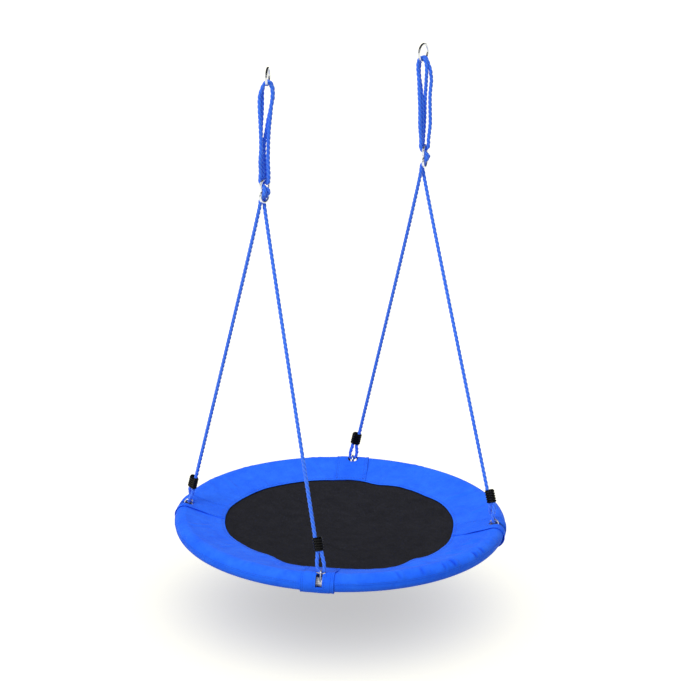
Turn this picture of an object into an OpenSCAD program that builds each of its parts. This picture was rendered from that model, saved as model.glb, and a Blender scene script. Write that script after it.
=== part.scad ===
// Round saucer swing on two four-part rope hangers.
// Millimetres. +Z is up. X runs from hanging point A to hanging point B.
// The origin is midway between the two hooks, at the height where they bear.

/* [Hanging] */
// Distance between the two hooks
hang_span = 576; // [540:2:620]
// Height from the hooks down to the middle of the padded rim
hang_drop = 1428; // [1380:2:1500]
// Outside diameter of a hanging ring
ring_d = 56; // [54:1:62]
// Wire diameter of the hanging rings
ring_wire_d = 7; // [6:0.5:8]

/* [Seat] */
// Outside diameter of the covered rim
seat_d = 1000; // [980:5:1040]
// Thickness of the padded rim over its cover
rim_d = 54; // [53:0.5:56]
// Diameter of the dark middle panel
panel_d = 702; // [680:2:716]
// Depth of the panel's edge below the rim's middle
panel_edge_drop = 4; // [3:1:10]
// Depth of the panel's centre below the rim's middle
panel_sag = 30; // [22:1:45]
// Thickness of the seat cloth
cloth_t = 1.4; // [1.2:0.1:1.6]
// Width of the closing flap at each anchor
flap_w = 99; // [90:1:110]

/* [Frame] */
// Outside diameter of the steel frame tube
tube_d = 28; // [27:0.5:29]
// Wall of the steel frame tube
tube_t = 1.5; // [1.2:0.1:1.8]
// Length of the reduced end that plugs into the next tube
spigot_len = 45; // [35:1:55]
// Wire diameter of the welded anchor eyes
eye_wire_d = 6; // [5:0.5:6]

/* [Rope and fittings] */
// Rope diameter
rope_d = 10; // [9.6:0.1:10.2]
// Wire diameter of the figure-eight adjusters
link_wire_d = 7; // [6:0.5:7]
// Diameter of one eye of the adjuster, on the middle of its wire
link_eye_d = 34; // [34:0.5:36]
// Depth of adjuster A's middle below hanging ring A
link_drop_a = 304; // [280:2:330]
// Depth of adjuster B's middle below hanging ring B
link_drop_b = 289; // [280:2:330]
// Length of a rope clamp
clamp_len = 40; // [36:1:46]
// Number of ribs round a clamp
clamp_ribs = 5; // [3:1:6]

/* [Hidden] */

$fn = 64;
BLUE = [0.10, 0.30, 0.95];
DARK = [0.10, 0.10, 0.11];
STEEL = [0.72, 0.74, 0.76];
FOAM = [0.25, 0.25, 0.27];

rim_r = seat_d / 2 - rim_d / 2;            // circle of the tube's middle
rim_z = -hang_drop;
ring_R = (ring_d - ring_wire_d) / 2;       // hanging ring, middle of its wire
ring_c = -(ring_R - ring_wire_d / 2);      // its centre, so that the hook bears at z = 0
ring_bot = ring_c - ring_R;                // middle of its lowest wire
rope_r = rope_d / 2;
gap = 0.7;

// Anchors, anticlockwise from above: left, front, right, back
AZ = [132.3, 224.1, -47.3, 45.9];
LOOP = [54, 61, 61, 59];                   // from the eye to the clamp
TWIST = [60, 0, 80, 0];                    // how far each loop is twisted at its clamp
FLAP_OFF = [-10, -9, -2, 0];               // middle of each flap from its eye, along the rim
SLOT_OFF = [0, -3, 0, 0];                  // middle of each slot from its eye
FRAME_AZ = [135, 225, -45, 45];            // the four equal frame tubes
function next_az(k) = k == 3 ? AZ[0] : k == 1 ? AZ[2] + 360 : AZ[k + 1];
LEAN = 13.5;                               // the eyes lean in towards the ropes
EYE_H = 41;                                // top of an eye over the tube's middle
JOINT = 3.7;                               // tube joints, in degrees past FRAME_AZ

// Bearings of the flat of each ring, of each bundle's broad side and of each adjuster, from X
RING_YAW = [42, 18];
SPREAD_YAW = [-37.6, -40.8];
LINK_YAW = [6, 30];
// How far each adjuster stands off its bundle's line
LINK_OFF = [2, 6.5];

function unit(v) = v / norm(v);
function mixv(a, b, t) = a + (b - a) * t;

// ---- bundle lines: hanging ring to the chord between two anchors
function top_pt(s) = [s * hang_span / 2, 0, ring_bot];
eye_in = EYE_H - eye_wire_d - rope_r - gap;    // rope's middle under an eye's arch
function eye_dir(k) = [-cos(AZ[k]) * sin(LEAN), -sin(AZ[k]) * sin(LEAN), cos(LEAN)];
function tube_pt(k) = [rim_r * cos(AZ[k]), rim_r * sin(AZ[k]), rim_z];
function eye_pt(k) = tube_pt(k) + eye_dir(k) * eye_in;
function chord_pt(s) = s < 0 ? (eye_pt(0) + eye_pt(1)) / 2 : (eye_pt(2) + eye_pt(3)) / 2;
function up_dir(s) = unit(top_pt(s) - chord_pt(s));
function yawed(a, s) = unit([cos(a), sin(a), 0] - up_dir(s) * ([cos(a), sin(a), 0] * up_dir(s)));
function link_pt(s) = top_pt(s) - up_dir(s) * (s < 0 ? link_drop_a : link_drop_b)
    + cross(yawed(LINK_YAW[i_of(s)], s), up_dir(s)) * LINK_OFF[i_of(s)];
// a point beside a bundle: h along the flat's bearing, n square to it, w up the line
function at(o, yaw, s, h, n, w) =
    o + yawed(yaw, s) * h + cross(yawed(yaw, s), up_dir(s)) * n + up_dir(s) * w;
function i_of(s) = s < 0 ? 0 : 1;

// ---- routes. Crown: over the ring's lowest wire, in [along the bore, height]
CROWN = [[-15, -38], [-15.4, -26], [-14.8, -14], [-12.7, -3.7], [-9.1, 4.1], [-4.9, 8.6],
         [0, 10.1],
         [4.9, 8.6], [9.1, 4.1], [12.7, -3.7], [14.8, -14], [15.4, -26], [15, -38]];
// how far each crown's two ends stand out beyond that, strand by strand
CROWN_OUT = [[[-6, 0], [0, 0]], [[1.5, 0], [-1.5, 8.5]]];
CROWN_H = [-5.3, 5.3];
function ease(t) = let (q = min(max(t, 0), 1)) q * q * (3 - 2 * q);
function crown(s, j) = let (o = CROWN_OUT[i_of(s)][j]) [for (p = CROWN)
    at(top_pt(s), RING_YAW[i_of(s)], s, CROWN_H[j],
       p[0] + o[p[0] < 0 ? 0 : 1] * ease((-2 - p[1]) / 36), p[1])];

// Weave through the adjuster, from below: [h, n, w] for the lower and the upper strand
WEAVE_L = [[-8.4, -8.8, -42], [-7.8, -8.9, -34], [-7.2, -6.4, -25], [-7, 0, -15.5], [-7.6, 6.8, -7.5],
           [-8, 8.9, 0], [-8, 6.6, 8], [-8, 0, 16], [-9.2, -5.4, 20.5], [-10.4, -8.7, 27], [-10.8, -9.4, 35],
           [-9.8, -9.2, 50]];
WEAVE_R = [[8.4, -8.8, -42], [7.8, -8.9, -34], [7.2, -6.4, -25], [7, 0, -15.5], [7.6, 6.8, -7.5],
           [8, 8.9, 0], [5, 7.8, 3.6], [2.6, 4.4, 7.2], [1, 0, 9], [0.6, -6.5, 14], [0.2, -9.8, 20],
           [-0.3, -10, 27], [0.4, -9.2, 50]];
// Strands between the crown and the adjuster: shares of the way down, and [across, near] for
// the two legs' strands and the two of the bight
DOWN = [[0.186, 0.262, 0.338, 0.423, 0.508, 0.603, 0.708],
        [0.193, 0.271, 0.349, 0.454, 0.558, 0.663]];
HANG = [[[[-21.6, 2.5], [-20.3, 4.4], [-18.2, 6.3], [-16.4, 8], [-14.7, 9.3], [-13.9, 10.2], [-15.1, 9.2]],
         [[-13.7, -6.6], [-13.7, -5.2], [-14.4, -4.3], [-14.9, -3.2], [-14, -2.3], [-12, -2.6], [-10.1, -5.4]],
         [[12, 8.2], [10.6, 6.6], [8.9, 4.4], [7.4, 2.4], [6.7, 1.3], [6.8, 1.1], [7.3, 2.2]],
         [[12.1, -5.1], [8.2, -5.7], [3.7, -5.8], [0.5, -6.5], [-3.3, -8.4], [-5, -11.5], [-2.5, -13.8]]],
        [[[-13.8, 1.3], [-13.3, 4.8], [-13, 6.9], [-12.2, 8.6], [-12.4, 9.7], [-13, 10.2]],
         [[-11.3, -10.3], [-8.2, -5.8], [-6.5, -2.3], [-5.1, -0.2], [-4.8, -0.9], [-5.9, -2.5]],
         [[23.4, 5.1], [21.2, 2.6], [18.9, 1], [18.1, -0.1], [18, -0.5], [17.6, -0.4]],
         [[8.2, 6.4], [6.8, 0], [4.9, -4.9], [3.2, -8.5], [2.2, -10.2], [0.5, -11.8]]]];
// The returned bight: down in front, under the adjuster's top wire, up behind
BIGHT = [[4, 10, 50], [4.6, 9.8, 38], [5.6, 9, 31], [6.2, 6.8, 25], [6.5, 0, 21.4],
         [9.7, -6.9, 23.2], [11.1, -9, 28], [11.6, -9.4, 38], [12.4, -9, 50]];

// Anchor loop in [across, along the rope] from the middle under the eye's arch
NEAR = [[4.7, 1.5], [7.9, 5.4], [9.4, 11.5], [10.2, 20]];
CLAMP_X = 5.9;                              // rope bores either side of a clamp's axis
CLAMP_MID = [-2.4, -2.4, -5.9, -2.4];       // a clamp's axis from the line of its leg
LEG_H = [-8.4, 8.4, 8.4, -8.4];
function side(k) = k < 2 ? -1 : 1;
function leg_end(k) = at(link_pt(side(k)), LINK_YAW[i_of(side(k))], side(k), LEG_H[k], -8.8, -42);
function eye_top(k) = tube_pt(k) + eye_dir(k) * (EYE_H - eye_wire_d / 2);
function leg_dir(k) = unit(leg_end(k) - eye_top(k));
function tang(k) = [-sin(AZ[k]), cos(AZ[k]), 0];
function across(k) = unit(tang(k) - leg_dir(k) * (tang(k) * leg_dir(k)));
function wide(k, u) = let (t = TWIST[k] * ease((u - 10) / (LOOP[k] - 14)))
    across(k) * cos(t) + cross(leg_dir(k), across(k)) * sin(t);
// side on which the load-bearing run leaves the clamp
SIDE = [1, -1, 1, -1];
function loc(k, x, u) = eye_top(k) - leg_dir(k) * (eye_wire_d / 2 + rope_r + gap)
    + wide(k, u) * x * SIDE[k] + leg_dir(k) * u;
function run(a, b) = [for (i = [1:2]) [a[0] + (b[0] - a[0]) * ease(i / 3), a[1] + (b[1] - a[1]) * i / 3]];
function loop_pts(u0, lo, hi) = concat(
    [[lo, u0 + clamp_len - 6], [lo, u0 - 1]],
    run([lo, u0 - 1], [-NEAR[3][0], NEAR[3][1]]),
    [for (i = [3:-1:0]) [-NEAR[i][0], NEAR[i][1]]],
    [[0, 0]], NEAR,
    run(NEAR[3], [hi, u0 - 1]),
    [[hi, u0 - 1], [hi, u0 + clamp_len]]);
function loop_route(k) = [for (p = loop_pts(LOOP[k], CLAMP_MID[k] - CLAMP_X, CLAMP_MID[k] + CLAMP_X))
    loc(k, p[0], p[1])];

function hang_pts(s, j) = let (i = i_of(s)) [for (m = [0:len(DOWN[i]) - 1])
    at(mixv(top_pt(s), link_pt(s), DOWN[i][m]), SPREAD_YAW[i], s, HANG[i][j][m][0], HANG[i][j][m][1], 0)];
function back_up(p) = [for (m = [len(p) - 1:-1:0]) p[m]];
// j: strand, e: which end of its crown. The rope starts square to the crown's end
function crown_end(s, j, e) = let (c = crown(s, j), n = len(c) - 1)
    e == 0 ? [c[0], unit(c[0] - c[1])] : [c[n], unit(c[n] - c[n - 1])];
function rope_top(s, j, e) = let (q = crown_end(s, j, e)) [q[0] + q[1] * 6.7, q[0] + q[1] * 0.7];
// k: anchor, s: side, w: weave, j: strand
function leg_route(k, s, w, j) = concat(
    loop_route(k),
    [for (p = w) at(link_pt(s), LINK_YAW[i_of(s)], s, p[0], p[1], p[2])],
    back_up(hang_pts(s, j)), rope_top(s, j, 0));
function bight_route(s) = concat(
    back_up(rope_top(s, s < 0 ? 0 : 1, 1)), hang_pts(s, 2),
    [for (p = BIGHT) at(link_pt(s), LINK_YAW[i_of(s)], s, p[0], p[1], p[2])],
    back_up(hang_pts(s, 3)), rope_top(s, s < 0 ? 1 : 0, 1));

// ---- a tube swept along a route, one ring of corners at each of its points
function tan_at(p, i) = i == 0 ? unit(p[1] - p[0])
    : i == len(p) - 1 ? unit(p[i] - p[i - 1])
    : unit(unit(p[i] - p[i - 1]) + unit(p[i + 1] - p[i]));
function square_to(v, t) = unit(v - t * (v * t));
function sides_of(p, i, n) = i == len(p) - 1 ? [n]
    : concat([n], sides_of(p, i + 1, square_to(n, tan_at(p, i + 1))));
module sweep(p, r, m = 8) {
    n = sides_of(p, 0, square_to([0.31, 0.83, 0.11], tan_at(p, 0)));
    pts = [for (i = [0:len(p) - 1]) let (t = tan_at(p, i), a = n[i], b = cross(t, a))
           for (j = [0:m - 1]) p[i] + a * r * cos(360 * j / m) + b * r * sin(360 * j / m)];
    polyhedron(pts, concat(
        [[for (j = [0:m - 1]) j]],
        [for (i = [0:len(p) - 2]) for (j = [0:m - 1])
            [i * m + j, (i + 1) * m + j, (i + 1) * m + (j + 1) % m, i * m + (j + 1) % m]],
        [[for (j = [m - 1:-1:0]) (len(p) - 1) * m + j]]));
}

module torus(R, r) { rotate_extrude($fn = 96) translate([R, 0]) circle(r, $fn = 48); }

// ---- hanging rings: loose steel rings that the hooks carry
module hanging_ring(s) {
    color(STEEL) translate([s * hang_span / 2, 0, ring_c]) rotate([0, 0, RING_YAW[i_of(s)]])
        rotate([90, 0, 0]) torus(ring_R, ring_wire_d / 2);
}
module hanging_ring_a() { hanging_ring(-1); }
module hanging_ring_b() { hanging_ring(1); }

// ---- ropes: one laid rope to each side
module rope_a_crown() { color(BLUE) for (j = [0, 1]) sweep(crown(-1, j), rope_r); }
module rope_b_crown() { color(BLUE) for (j = [0, 1]) sweep(crown(1, j), rope_r); }
module rope_a() {
    color(BLUE) {
        sweep(leg_route(0, -1, WEAVE_L, 0), rope_r);
        sweep(leg_route(1, -1, WEAVE_R, 1), rope_r);
        sweep(bight_route(-1), rope_r);
    }
}
module rope_b() {
    color(BLUE) {
        sweep(leg_route(2, 1, WEAVE_R, 1), rope_r);
        sweep(leg_route(3, 1, WEAVE_L, 0), rope_r);
        sweep(bight_route(1), rope_r);
    }
}

// ---- figure-eight adjusters: two eyes in one flat, tilted with the rope
module turned(s, yaw) {
    h = yawed(yaw, s); w = up_dir(s); n = cross(h, w);
    multmatrix([[h[0], -n[0], w[0], 0], [h[1], -n[1], w[1], 0], [h[2], -n[2], w[2], 0], [0, 0, 0, 1]])
        children();
}
module adjuster(s) {
    color(STEEL) translate(link_pt(s)) turned(s, LINK_YAW[i_of(s)])
        for (q = [-1, 1]) translate([0, 0, q * (link_eye_d / 2 - 0.6)]) rotate([90, 0, 0])
            torus(link_eye_d / 2, link_wire_d / 2);
}
module adjuster_a() { adjuster(-1); }
module adjuster_b() { adjuster(1); }

// ---- rope clamps: ribbed barrels with two bores
module clamp_outline(x, y) {
    square([2 * (x - y), 2 * y], center = true);
    for (q = [-1, 1]) translate([q * (x - y), 0]) circle(y, $fn = 64);
}
module rope_clamp(k) {
    u = leg_dir(k); x = wide(k, LOOP[k]); y = cross(u, x);
    pitch = clamp_len / (clamp_ribs + 0.4);
    color(DARK) translate(loc(k, CLAMP_MID[k], LOOP[k]))
        multmatrix([[x[0], y[0], u[0], 0], [x[1], y[1], u[1], 0], [x[2], y[2], u[2], 0], [0, 0, 0, 1]])
        difference() {
            union() {
                linear_extrude(clamp_len) clamp_outline(14.2, 8.6);
                for (i = [0:clamp_ribs - 1]) translate([0, 0, pitch * (i + 0.2)])
                    linear_extrude(pitch * 0.62) clamp_outline(15.2, 9.6);
            }
            for (q = [-1, 1]) translate([q * CLAMP_X, 0, -1]) cylinder(r = rope_r + 0.2, h = clamp_len + 2);
        }
}
module rope_clamp_left() { rope_clamp(0); }
module rope_clamp_front() { rope_clamp(1); }
module rope_clamp_right() { rope_clamp(2); }
module rope_clamp_back() { rope_clamp(3); }

// ---- anchor eyes: bent rod with both feet on the tube
module anchor_eye(k) {
    er = eye_wire_d / 2;
    R = 11;
    h = EYE_H - er - R;
    color(STEEL) translate([0, 0, rim_z]) rotate([0, 0, AZ[k]]) difference() {
        translate([rim_r, 0, 0]) rotate([0, -LEAN, 0]) {
            translate([0, 0, h]) rotate([90, 0, 0])
                rotate_extrude(angle = 180, $fn = 96) translate([R, 0]) circle(er, $fn = 48);
            for (q = [-1, 1]) translate([q * R, 0, 2]) cylinder(r = er, h = h - 2, $fn = 48);
        }
        rotate([0, 0, -4]) rotate_extrude(angle = 8, $fn = 192)
            translate([rim_r, 0]) circle(tube_d / 2 + 0.02, $fn = 96);
    }
}
module anchor_eye_left() { anchor_eye(0); }
module anchor_eye_front() { anchor_eye(1); }
module anchor_eye_right() { anchor_eye(2); }
module anchor_eye_back() { anchor_eye(3); }

// ---- frame: four bent tubes, each plugged into the next just past an anchor
function deg(l) = l / rim_r * 180 / PI;
module arc_tube(a0, a1, ro, ri) {
    rotate([0, 0, a0]) rotate_extrude(angle = a1 - a0, $fn = 192) translate([rim_r, 0])
        difference() { circle(ro, $fn = 96); circle(ri, $fn = 96); }
}
module screw_axis(a) { translate([0, 0, rim_z]) rotate([0, 0, a]) rotate([0, 90, 0]) children(); }
module frame_tube(k) {
    a0 = FRAME_AZ[k] + JOINT; a1 = a0 + 90; so = tube_d / 2 - tube_t - 0.15;
    s0 = a1 + deg(spigot_len) / 2;
    color(STEEL) difference() {
        translate([0, 0, rim_z]) {
            arc_tube(a0, a1 - deg(0.1), tube_d / 2, tube_d / 2 - tube_t);
            arc_tube(a1 - deg(5), a1 - deg(0.1), tube_d / 2 - 0.1, so - tube_t);
            arc_tube(a1 - deg(5), a1 + deg(spigot_len), so, so - tube_t);
        }
        screw_axis(a0 + deg(spigot_len) / 2) translate([0, 0, rim_r]) cylinder(r = 2.6, h = 30, $fn = 32);
        screw_axis(s0) translate([0, 0, rim_r]) cylinder(r = 2.6, h = 30, $fn = 32);
    }
}
module frame_tube_left() { frame_tube(0); }
module frame_tube_front() { frame_tube(1); }
module frame_tube_right() { frame_tube(2); }
module frame_tube_back() { frame_tube(3); }
module frame_screws() {
    color(STEEL) for (k = [0:3]) screw_axis(FRAME_AZ[k] + JOINT + deg(spigot_len) / 2) {
        translate([0, 0, rim_r + 6]) cylinder(r = 2.5, h = tube_d / 2 - 5.6, $fn = 32);
        translate([0, 0, rim_r + tube_d / 2 + 0.4]) cylinder(r = 4.8, h = 2.6, $fn = 48);
    }
}

// ---- foam sleeves over the tubes, cut short of the eyes
module foam_sleeve(k) {
    a0 = AZ[k] + deg(12); a1 = next_az(k) - deg(12);
    color(FOAM) difference() {
        translate([0, 0, rim_z]) arc_tube(a0, a1, rim_d / 2 - cloth_t - 0.1, tube_d / 2 + 0.1);
        screw_axis(FRAME_AZ[k] + JOINT + deg(spigot_len) / 2) translate([0, 0, rim_r + 8])
            cylinder(r = 6.5, h = 11.5, $fn = 32);
    }
}
module foam_sleeve_left() { foam_sleeve(0); }
module foam_sleeve_front() { foam_sleeve(1); }
module foam_sleeve_right() { foam_sleeve(2); }
module foam_sleeve_back() { foam_sleeve(3); }

// ---- opening over an eye: a slot down the rim's outer side and a round top
module eye_opening_at(k) {
    translate([0, 0, rim_z]) rotate([0, 0, AZ[k]]) translate([rim_r, 0, 0]) {
        rotate([0, 35, 0]) translate([0, SLOT_OFF[k] - 9.5, 0]) cube([45, 19, 45]);
        rotate([0, -LEAN, 0]) translate([0, 0, 14]) cylinder(r = 16, h = 40, $fn = 64);
    }
}
module eye_opening() { for (k = [0:3]) eye_opening_at(k); }

// ---- rim cover: the hem that wraps the foam
module rim_cover() {
    color(BLUE) difference() {
        translate([0, 0, rim_z]) rotate_extrude($fn = 192) translate([rim_r, 0])
            difference() { circle(rim_d / 2, $fn = 96); circle(rim_d / 2 - cloth_t, $fn = 96); }
        eye_opening();
    }
}

// A band of cloth from [r0, z0] to the tangent on a circle of radius c about the tube
function tan_deg(r0, z0, c) = let (dx = rim_r - r0, dz = -z0, d = norm([dx, dz]))
    90 + atan2(dz, dx) + asin(c / d);
function tan_pt(r0, z0, c) = let (a = tan_deg(r0, z0, c)) [rim_r + c * cos(a), c * sin(a)];
module band(r0, z0, c, t) {
    a = tan_deg(r0, z0, c); n = [cos(a), sin(a)];
    e = tan_pt(r0, z0, c);
    polygon([[r0, z0], e, e + n * t, [r0, z0] + n * t]);
}
// ---- seat ring: blue cloth from the panel up to the rim
module seat_ring_cloth() {
    color(BLUE) difference() {
        translate([0, 0, rim_z]) rotate_extrude($fn = 192)
            band(panel_d / 2, -panel_edge_drop, rim_d / 2 + 0.05, cloth_t);
        eye_opening();
    }
}
// ---- middle panel: dark cloth, lapped under the seat ring
module centre_panel() {
    r1 = panel_d / 2 + 7;
    z1 = -panel_edge_drop - 0.3;
    top = [for (i = [0:10]) let (r = r1 * i / 10) [r, z1 - (panel_sag - panel_edge_drop) * (1 - pow(i / 10, 2))]];
    color(DARK) translate([0, 0, rim_z]) rotate_extrude($fn = 192)
        polygon(concat(top, [for (i = [10:-1:0]) top[i] - [0, cloth_t]]));
}
// ---- flaps: bands that close the cover over each anchor
FLAP_C = rim_d / 2 + 2.3;
FLAP_Z = -panel_edge_drop + 6;
module flap(k) {
    a = deg(flap_w);
    r0 = panel_d / 2 + 9;
    e = tan_deg(r0, FLAP_Z, FLAP_C);
    color(BLUE) {
        difference() {
            translate([0, 0, rim_z]) rotate([0, 0, AZ[k] + deg(FLAP_OFF[k]) - a / 2])
                rotate_extrude(angle = a, $fn = 192) band(r0, FLAP_Z, FLAP_C, cloth_t);
            eye_opening_at(k);
        }
        difference() {
            translate([0, 0, rim_z]) rotate([0, 0, AZ[k] + deg(FLAP_OFF[k]) - a / 2])
                rotate_extrude(angle = a, $fn = 192) translate([rim_r, 0]) intersection() {
                    difference() { circle(FLAP_C + cloth_t, $fn = 96); circle(FLAP_C, $fn = 96); }
                    polygon(concat([[0, 0]], [for (q = [0:5]) let (b = e - (e + 105) * q / 5)
                        60 * [cos(b), sin(b)]]));
                }
            eye_opening_at(k);
        }
    }
}
module flap_left() { flap(0); }
module flap_front() { flap(1); }
module flap_right() { flap(2); }
module flap_back() { flap(3); }

// ---- hook-and-loop closure under the end of each flap
module strip(k, r0, r1) {
    a = deg(flap_w - 14);
    translate([0, 0, rim_z]) rotate([0, 0, AZ[k] + deg(FLAP_OFF[k]) - a / 2]) rotate_extrude(angle = a, $fn = 192)
        translate([rim_r, 0]) intersection() {
            difference() { circle(r1, $fn = 96); circle(r0, $fn = 96); }
            polygon([[0, 0], 60 * [cos(-58), sin(-58)], 60 * [cos(-100), sin(-100)]]);
        }
}
module hook_strips() { color(DARK) for (k = [0:3]) strip(k, rim_d / 2 + 1.2, rim_d / 2 + 2.2); }
module loop_strips() { color(DARK) for (k = [0:3]) strip(k, rim_d / 2 + 0.1, rim_d / 2 + 1.1); }

hanging_ring_a();
hanging_ring_b();
rope_a_crown();
rope_b_crown();
rope_a();
rope_b();
adjuster_a();
adjuster_b();
rope_clamp_left();
rope_clamp_front();
rope_clamp_right();
rope_clamp_back();
anchor_eye_left();
anchor_eye_front();
anchor_eye_right();
anchor_eye_back();
frame_tube_left();
frame_tube_front();
frame_tube_right();
frame_tube_back();
foam_sleeve_left();
foam_sleeve_front();
foam_sleeve_right();
foam_sleeve_back();
frame_screws();
rim_cover();
seat_ring_cloth();
centre_panel();
flap_left();
flap_front();
flap_right();
flap_back();
hook_strips();
loop_strips();
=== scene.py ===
from math import atan2, ceil, cos, degrees, exp, pi, radians, sin

import bpy
import numpy as np
from mathutils import Matrix, Vector


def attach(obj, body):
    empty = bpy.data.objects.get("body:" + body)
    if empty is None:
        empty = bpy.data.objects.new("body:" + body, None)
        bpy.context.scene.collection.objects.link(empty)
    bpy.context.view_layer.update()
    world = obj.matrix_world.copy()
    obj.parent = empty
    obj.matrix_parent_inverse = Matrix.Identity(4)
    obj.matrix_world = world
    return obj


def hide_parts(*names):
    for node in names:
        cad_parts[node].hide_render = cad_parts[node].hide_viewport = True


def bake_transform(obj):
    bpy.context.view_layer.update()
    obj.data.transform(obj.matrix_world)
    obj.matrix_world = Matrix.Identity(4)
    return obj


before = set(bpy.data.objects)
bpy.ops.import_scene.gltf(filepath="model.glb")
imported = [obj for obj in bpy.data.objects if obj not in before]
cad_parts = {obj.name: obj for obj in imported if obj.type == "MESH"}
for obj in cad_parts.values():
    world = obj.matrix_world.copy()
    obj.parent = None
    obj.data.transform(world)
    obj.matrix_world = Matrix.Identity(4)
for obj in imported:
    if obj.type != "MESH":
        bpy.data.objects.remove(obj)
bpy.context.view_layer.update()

MM = 0.001
V = lambda *a: np.array(a, float)

# ---------------------------------------------------------------- sizes, millimetres, as in the CAD
HANG_SPAN, HANG_DROP = 576.0, 1428.0
RING_D, RING_WIRE = 56.0, 7.0
SEAT_D, RIM_D = 1000.0, 54.0
CLOTH_T, FLAP_W = 1.4, 99.0
TUBE_D, EYE_WIRE, ROPE_D = 28.0, 6.0, 10.0
LINK_WIRE, LINK_EYE, LINK_DROP = 7.0, 34.0, (304.0, 289.0)
CLAMP_LEN, CLAMP_RIBS = 40.0, 5
RIM_R, RIM_Z = SEAT_D / 2 - RIM_D / 2, -HANG_DROP
RING_R = (RING_D - RING_WIRE) / 2
RING_BOT = -(RING_R - RING_WIRE / 2) - RING_R
ROPE_R, GAP = ROPE_D / 2, 0.7
AZ, LOOP, LEAN, EYE_H = (132.3, 224.1, -47.3, 45.9), (54, 61, 61, 59), 13.5, 41.0
TWIST, FLAP_OFF, SLOT_OFF = (60, 0, 80, 0), (-10, -9, -2, 0), (0, -3, 0, 0)
SLOT_W = 9.5
SIDES = ("left", "front", "right", "back")
RING_YAW, LINK_YAW, LINK_OFF = (42, 18), (6, 30), (2, 6.5)
SPREAD_YAW = (-37.6, -40.8)
CROWN_OUT = [[(-6, 0), (0, 0)], [(1.5, 0), (-1.5, 8.5)]]
DOWN = [[0.186, 0.262, 0.338, 0.423, 0.508, 0.603, 0.708],
        [0.193, 0.271, 0.349, 0.454, 0.558, 0.663]]
HANG = [[[(-21.6, 2.5), (-20.3, 4.4), (-18.2, 6.3), (-16.4, 8), (-14.7, 9.3), (-13.9, 10.2), (-15.1, 9.2)],
         [(-13.7, -6.6), (-13.7, -5.2), (-14.4, -4.3), (-14.9, -3.2), (-14, -2.3), (-12, -2.6), (-10.1, -5.4)],
         [(12, 8.2), (10.6, 6.6), (8.9, 4.4), (7.4, 2.4), (6.7, 1.3), (6.8, 1.1), (7.3, 2.2)],
         [(12.1, -5.1), (8.2, -5.7), (3.7, -5.8), (0.5, -6.5), (-3.3, -8.4), (-5, -11.5), (-2.5, -13.8)]],
        [[(-13.8, 1.3), (-13.3, 4.8), (-13, 6.9), (-12.2, 8.6), (-12.4, 9.7), (-13, 10.2)],
         [(-11.3, -10.3), (-8.2, -5.8), (-6.5, -2.3), (-5.1, -0.2), (-4.8, -0.9), (-5.9, -2.5)],
         [(23.4, 5.1), (21.2, 2.6), (18.9, 1), (18.1, -0.1), (18, -0.5), (17.6, -0.4)],
         [(8.2, 6.4), (6.8, 0), (4.9, -4.9), (3.2, -8.5), (2.2, -10.2), (0.5, -11.8)]]]
EYE_IN = EYE_H - EYE_WIRE - ROPE_R - GAP


# ---------------------------------------------------------------- the rope's route, as in the CAD
def unit(v): return v / np.linalg.norm(v)
def cd(a): return cos(radians(a))
def sd(a): return sin(radians(a))
def i_of(s): return 0 if s < 0 else 1
def top_pt(s): return V(s * HANG_SPAN / 2, 0, RING_BOT)
def eye_dir(k): return V(-cd(AZ[k]) * sd(LEAN), -sd(AZ[k]) * sd(LEAN), cd(LEAN))
def tube_pt(k): return V(RIM_R * cd(AZ[k]), RIM_R * sd(AZ[k]), RIM_Z)
def eye_pt(k): return tube_pt(k) + eye_dir(k) * EYE_IN
def chord_pt(s): return (eye_pt(0) + eye_pt(1)) / 2 if s < 0 else (eye_pt(2) + eye_pt(3)) / 2
def up_dir(s): return unit(top_pt(s) - chord_pt(s))


def yawed(a, s):
    v, u = V(cd(a), sd(a), 0), up_dir(s)
    return unit(v - u * v.dot(u))


def link_pt(s):
    return (top_pt(s) - up_dir(s) * LINK_DROP[i_of(s)]
            + np.cross(yawed(LINK_YAW[i_of(s)], s), up_dir(s)) * LINK_OFF[i_of(s)])


def at(o, yaw, s, h, n, w):
    y, u = yawed(yaw, s), up_dir(s)
    return o + y * h + np.cross(y, u) * n + u * w


CROWN = [(-15, -38), (-15.4, -26), (-14.8, -14), (-12.7, -3.7), (-9.1, 4.1), (-4.9, 8.6), (0, 10.1),
         (4.9, 8.6), (9.1, 4.1), (12.7, -3.7), (14.8, -14), (15.4, -26), (15, -38)]
WEAVE_L = [(-8.4, -8.8, -42), (-7.8, -8.9, -34), (-7.2, -6.4, -25), (-7, 0, -15.5), (-7.6, 6.8, -7.5),
           (-8, 8.9, 0), (-8, 6.6, 8), (-8, 0, 16), (-9.2, -5.4, 20.5), (-10.4, -8.7, 27), (-10.8, -9.4, 35),
           (-9.8, -9.2, 50)]
WEAVE_R = [(8.4, -8.8, -42), (7.8, -8.9, -34), (7.2, -6.4, -25), (7, 0, -15.5), (7.6, 6.8, -7.5),
           (8, 8.9, 0), (5, 7.8, 3.6), (2.6, 4.4, 7.2), (1, 0, 9), (0.6, -6.5, 14), (0.2, -9.8, 20),
           (-0.3, -10, 27), (0.4, -9.2, 50)]
BIGHT = [(4, 10, 50), (4.6, 9.8, 38), (5.6, 9, 31), (6.2, 6.8, 25), (6.5, 0, 21.4),
         (9.7, -6.9, 23.2), (11.1, -9, 28), (11.6, -9.4, 38), (12.4, -9, 50)]
CLAMP_X = 5.9
CLAMP_MID = (-2.4, -2.4, -5.9, -2.4)
SIDE = (1, -1, 1, -1)
BEAR = EYE_WIRE / 2 + ROPE_R + GAP


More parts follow.
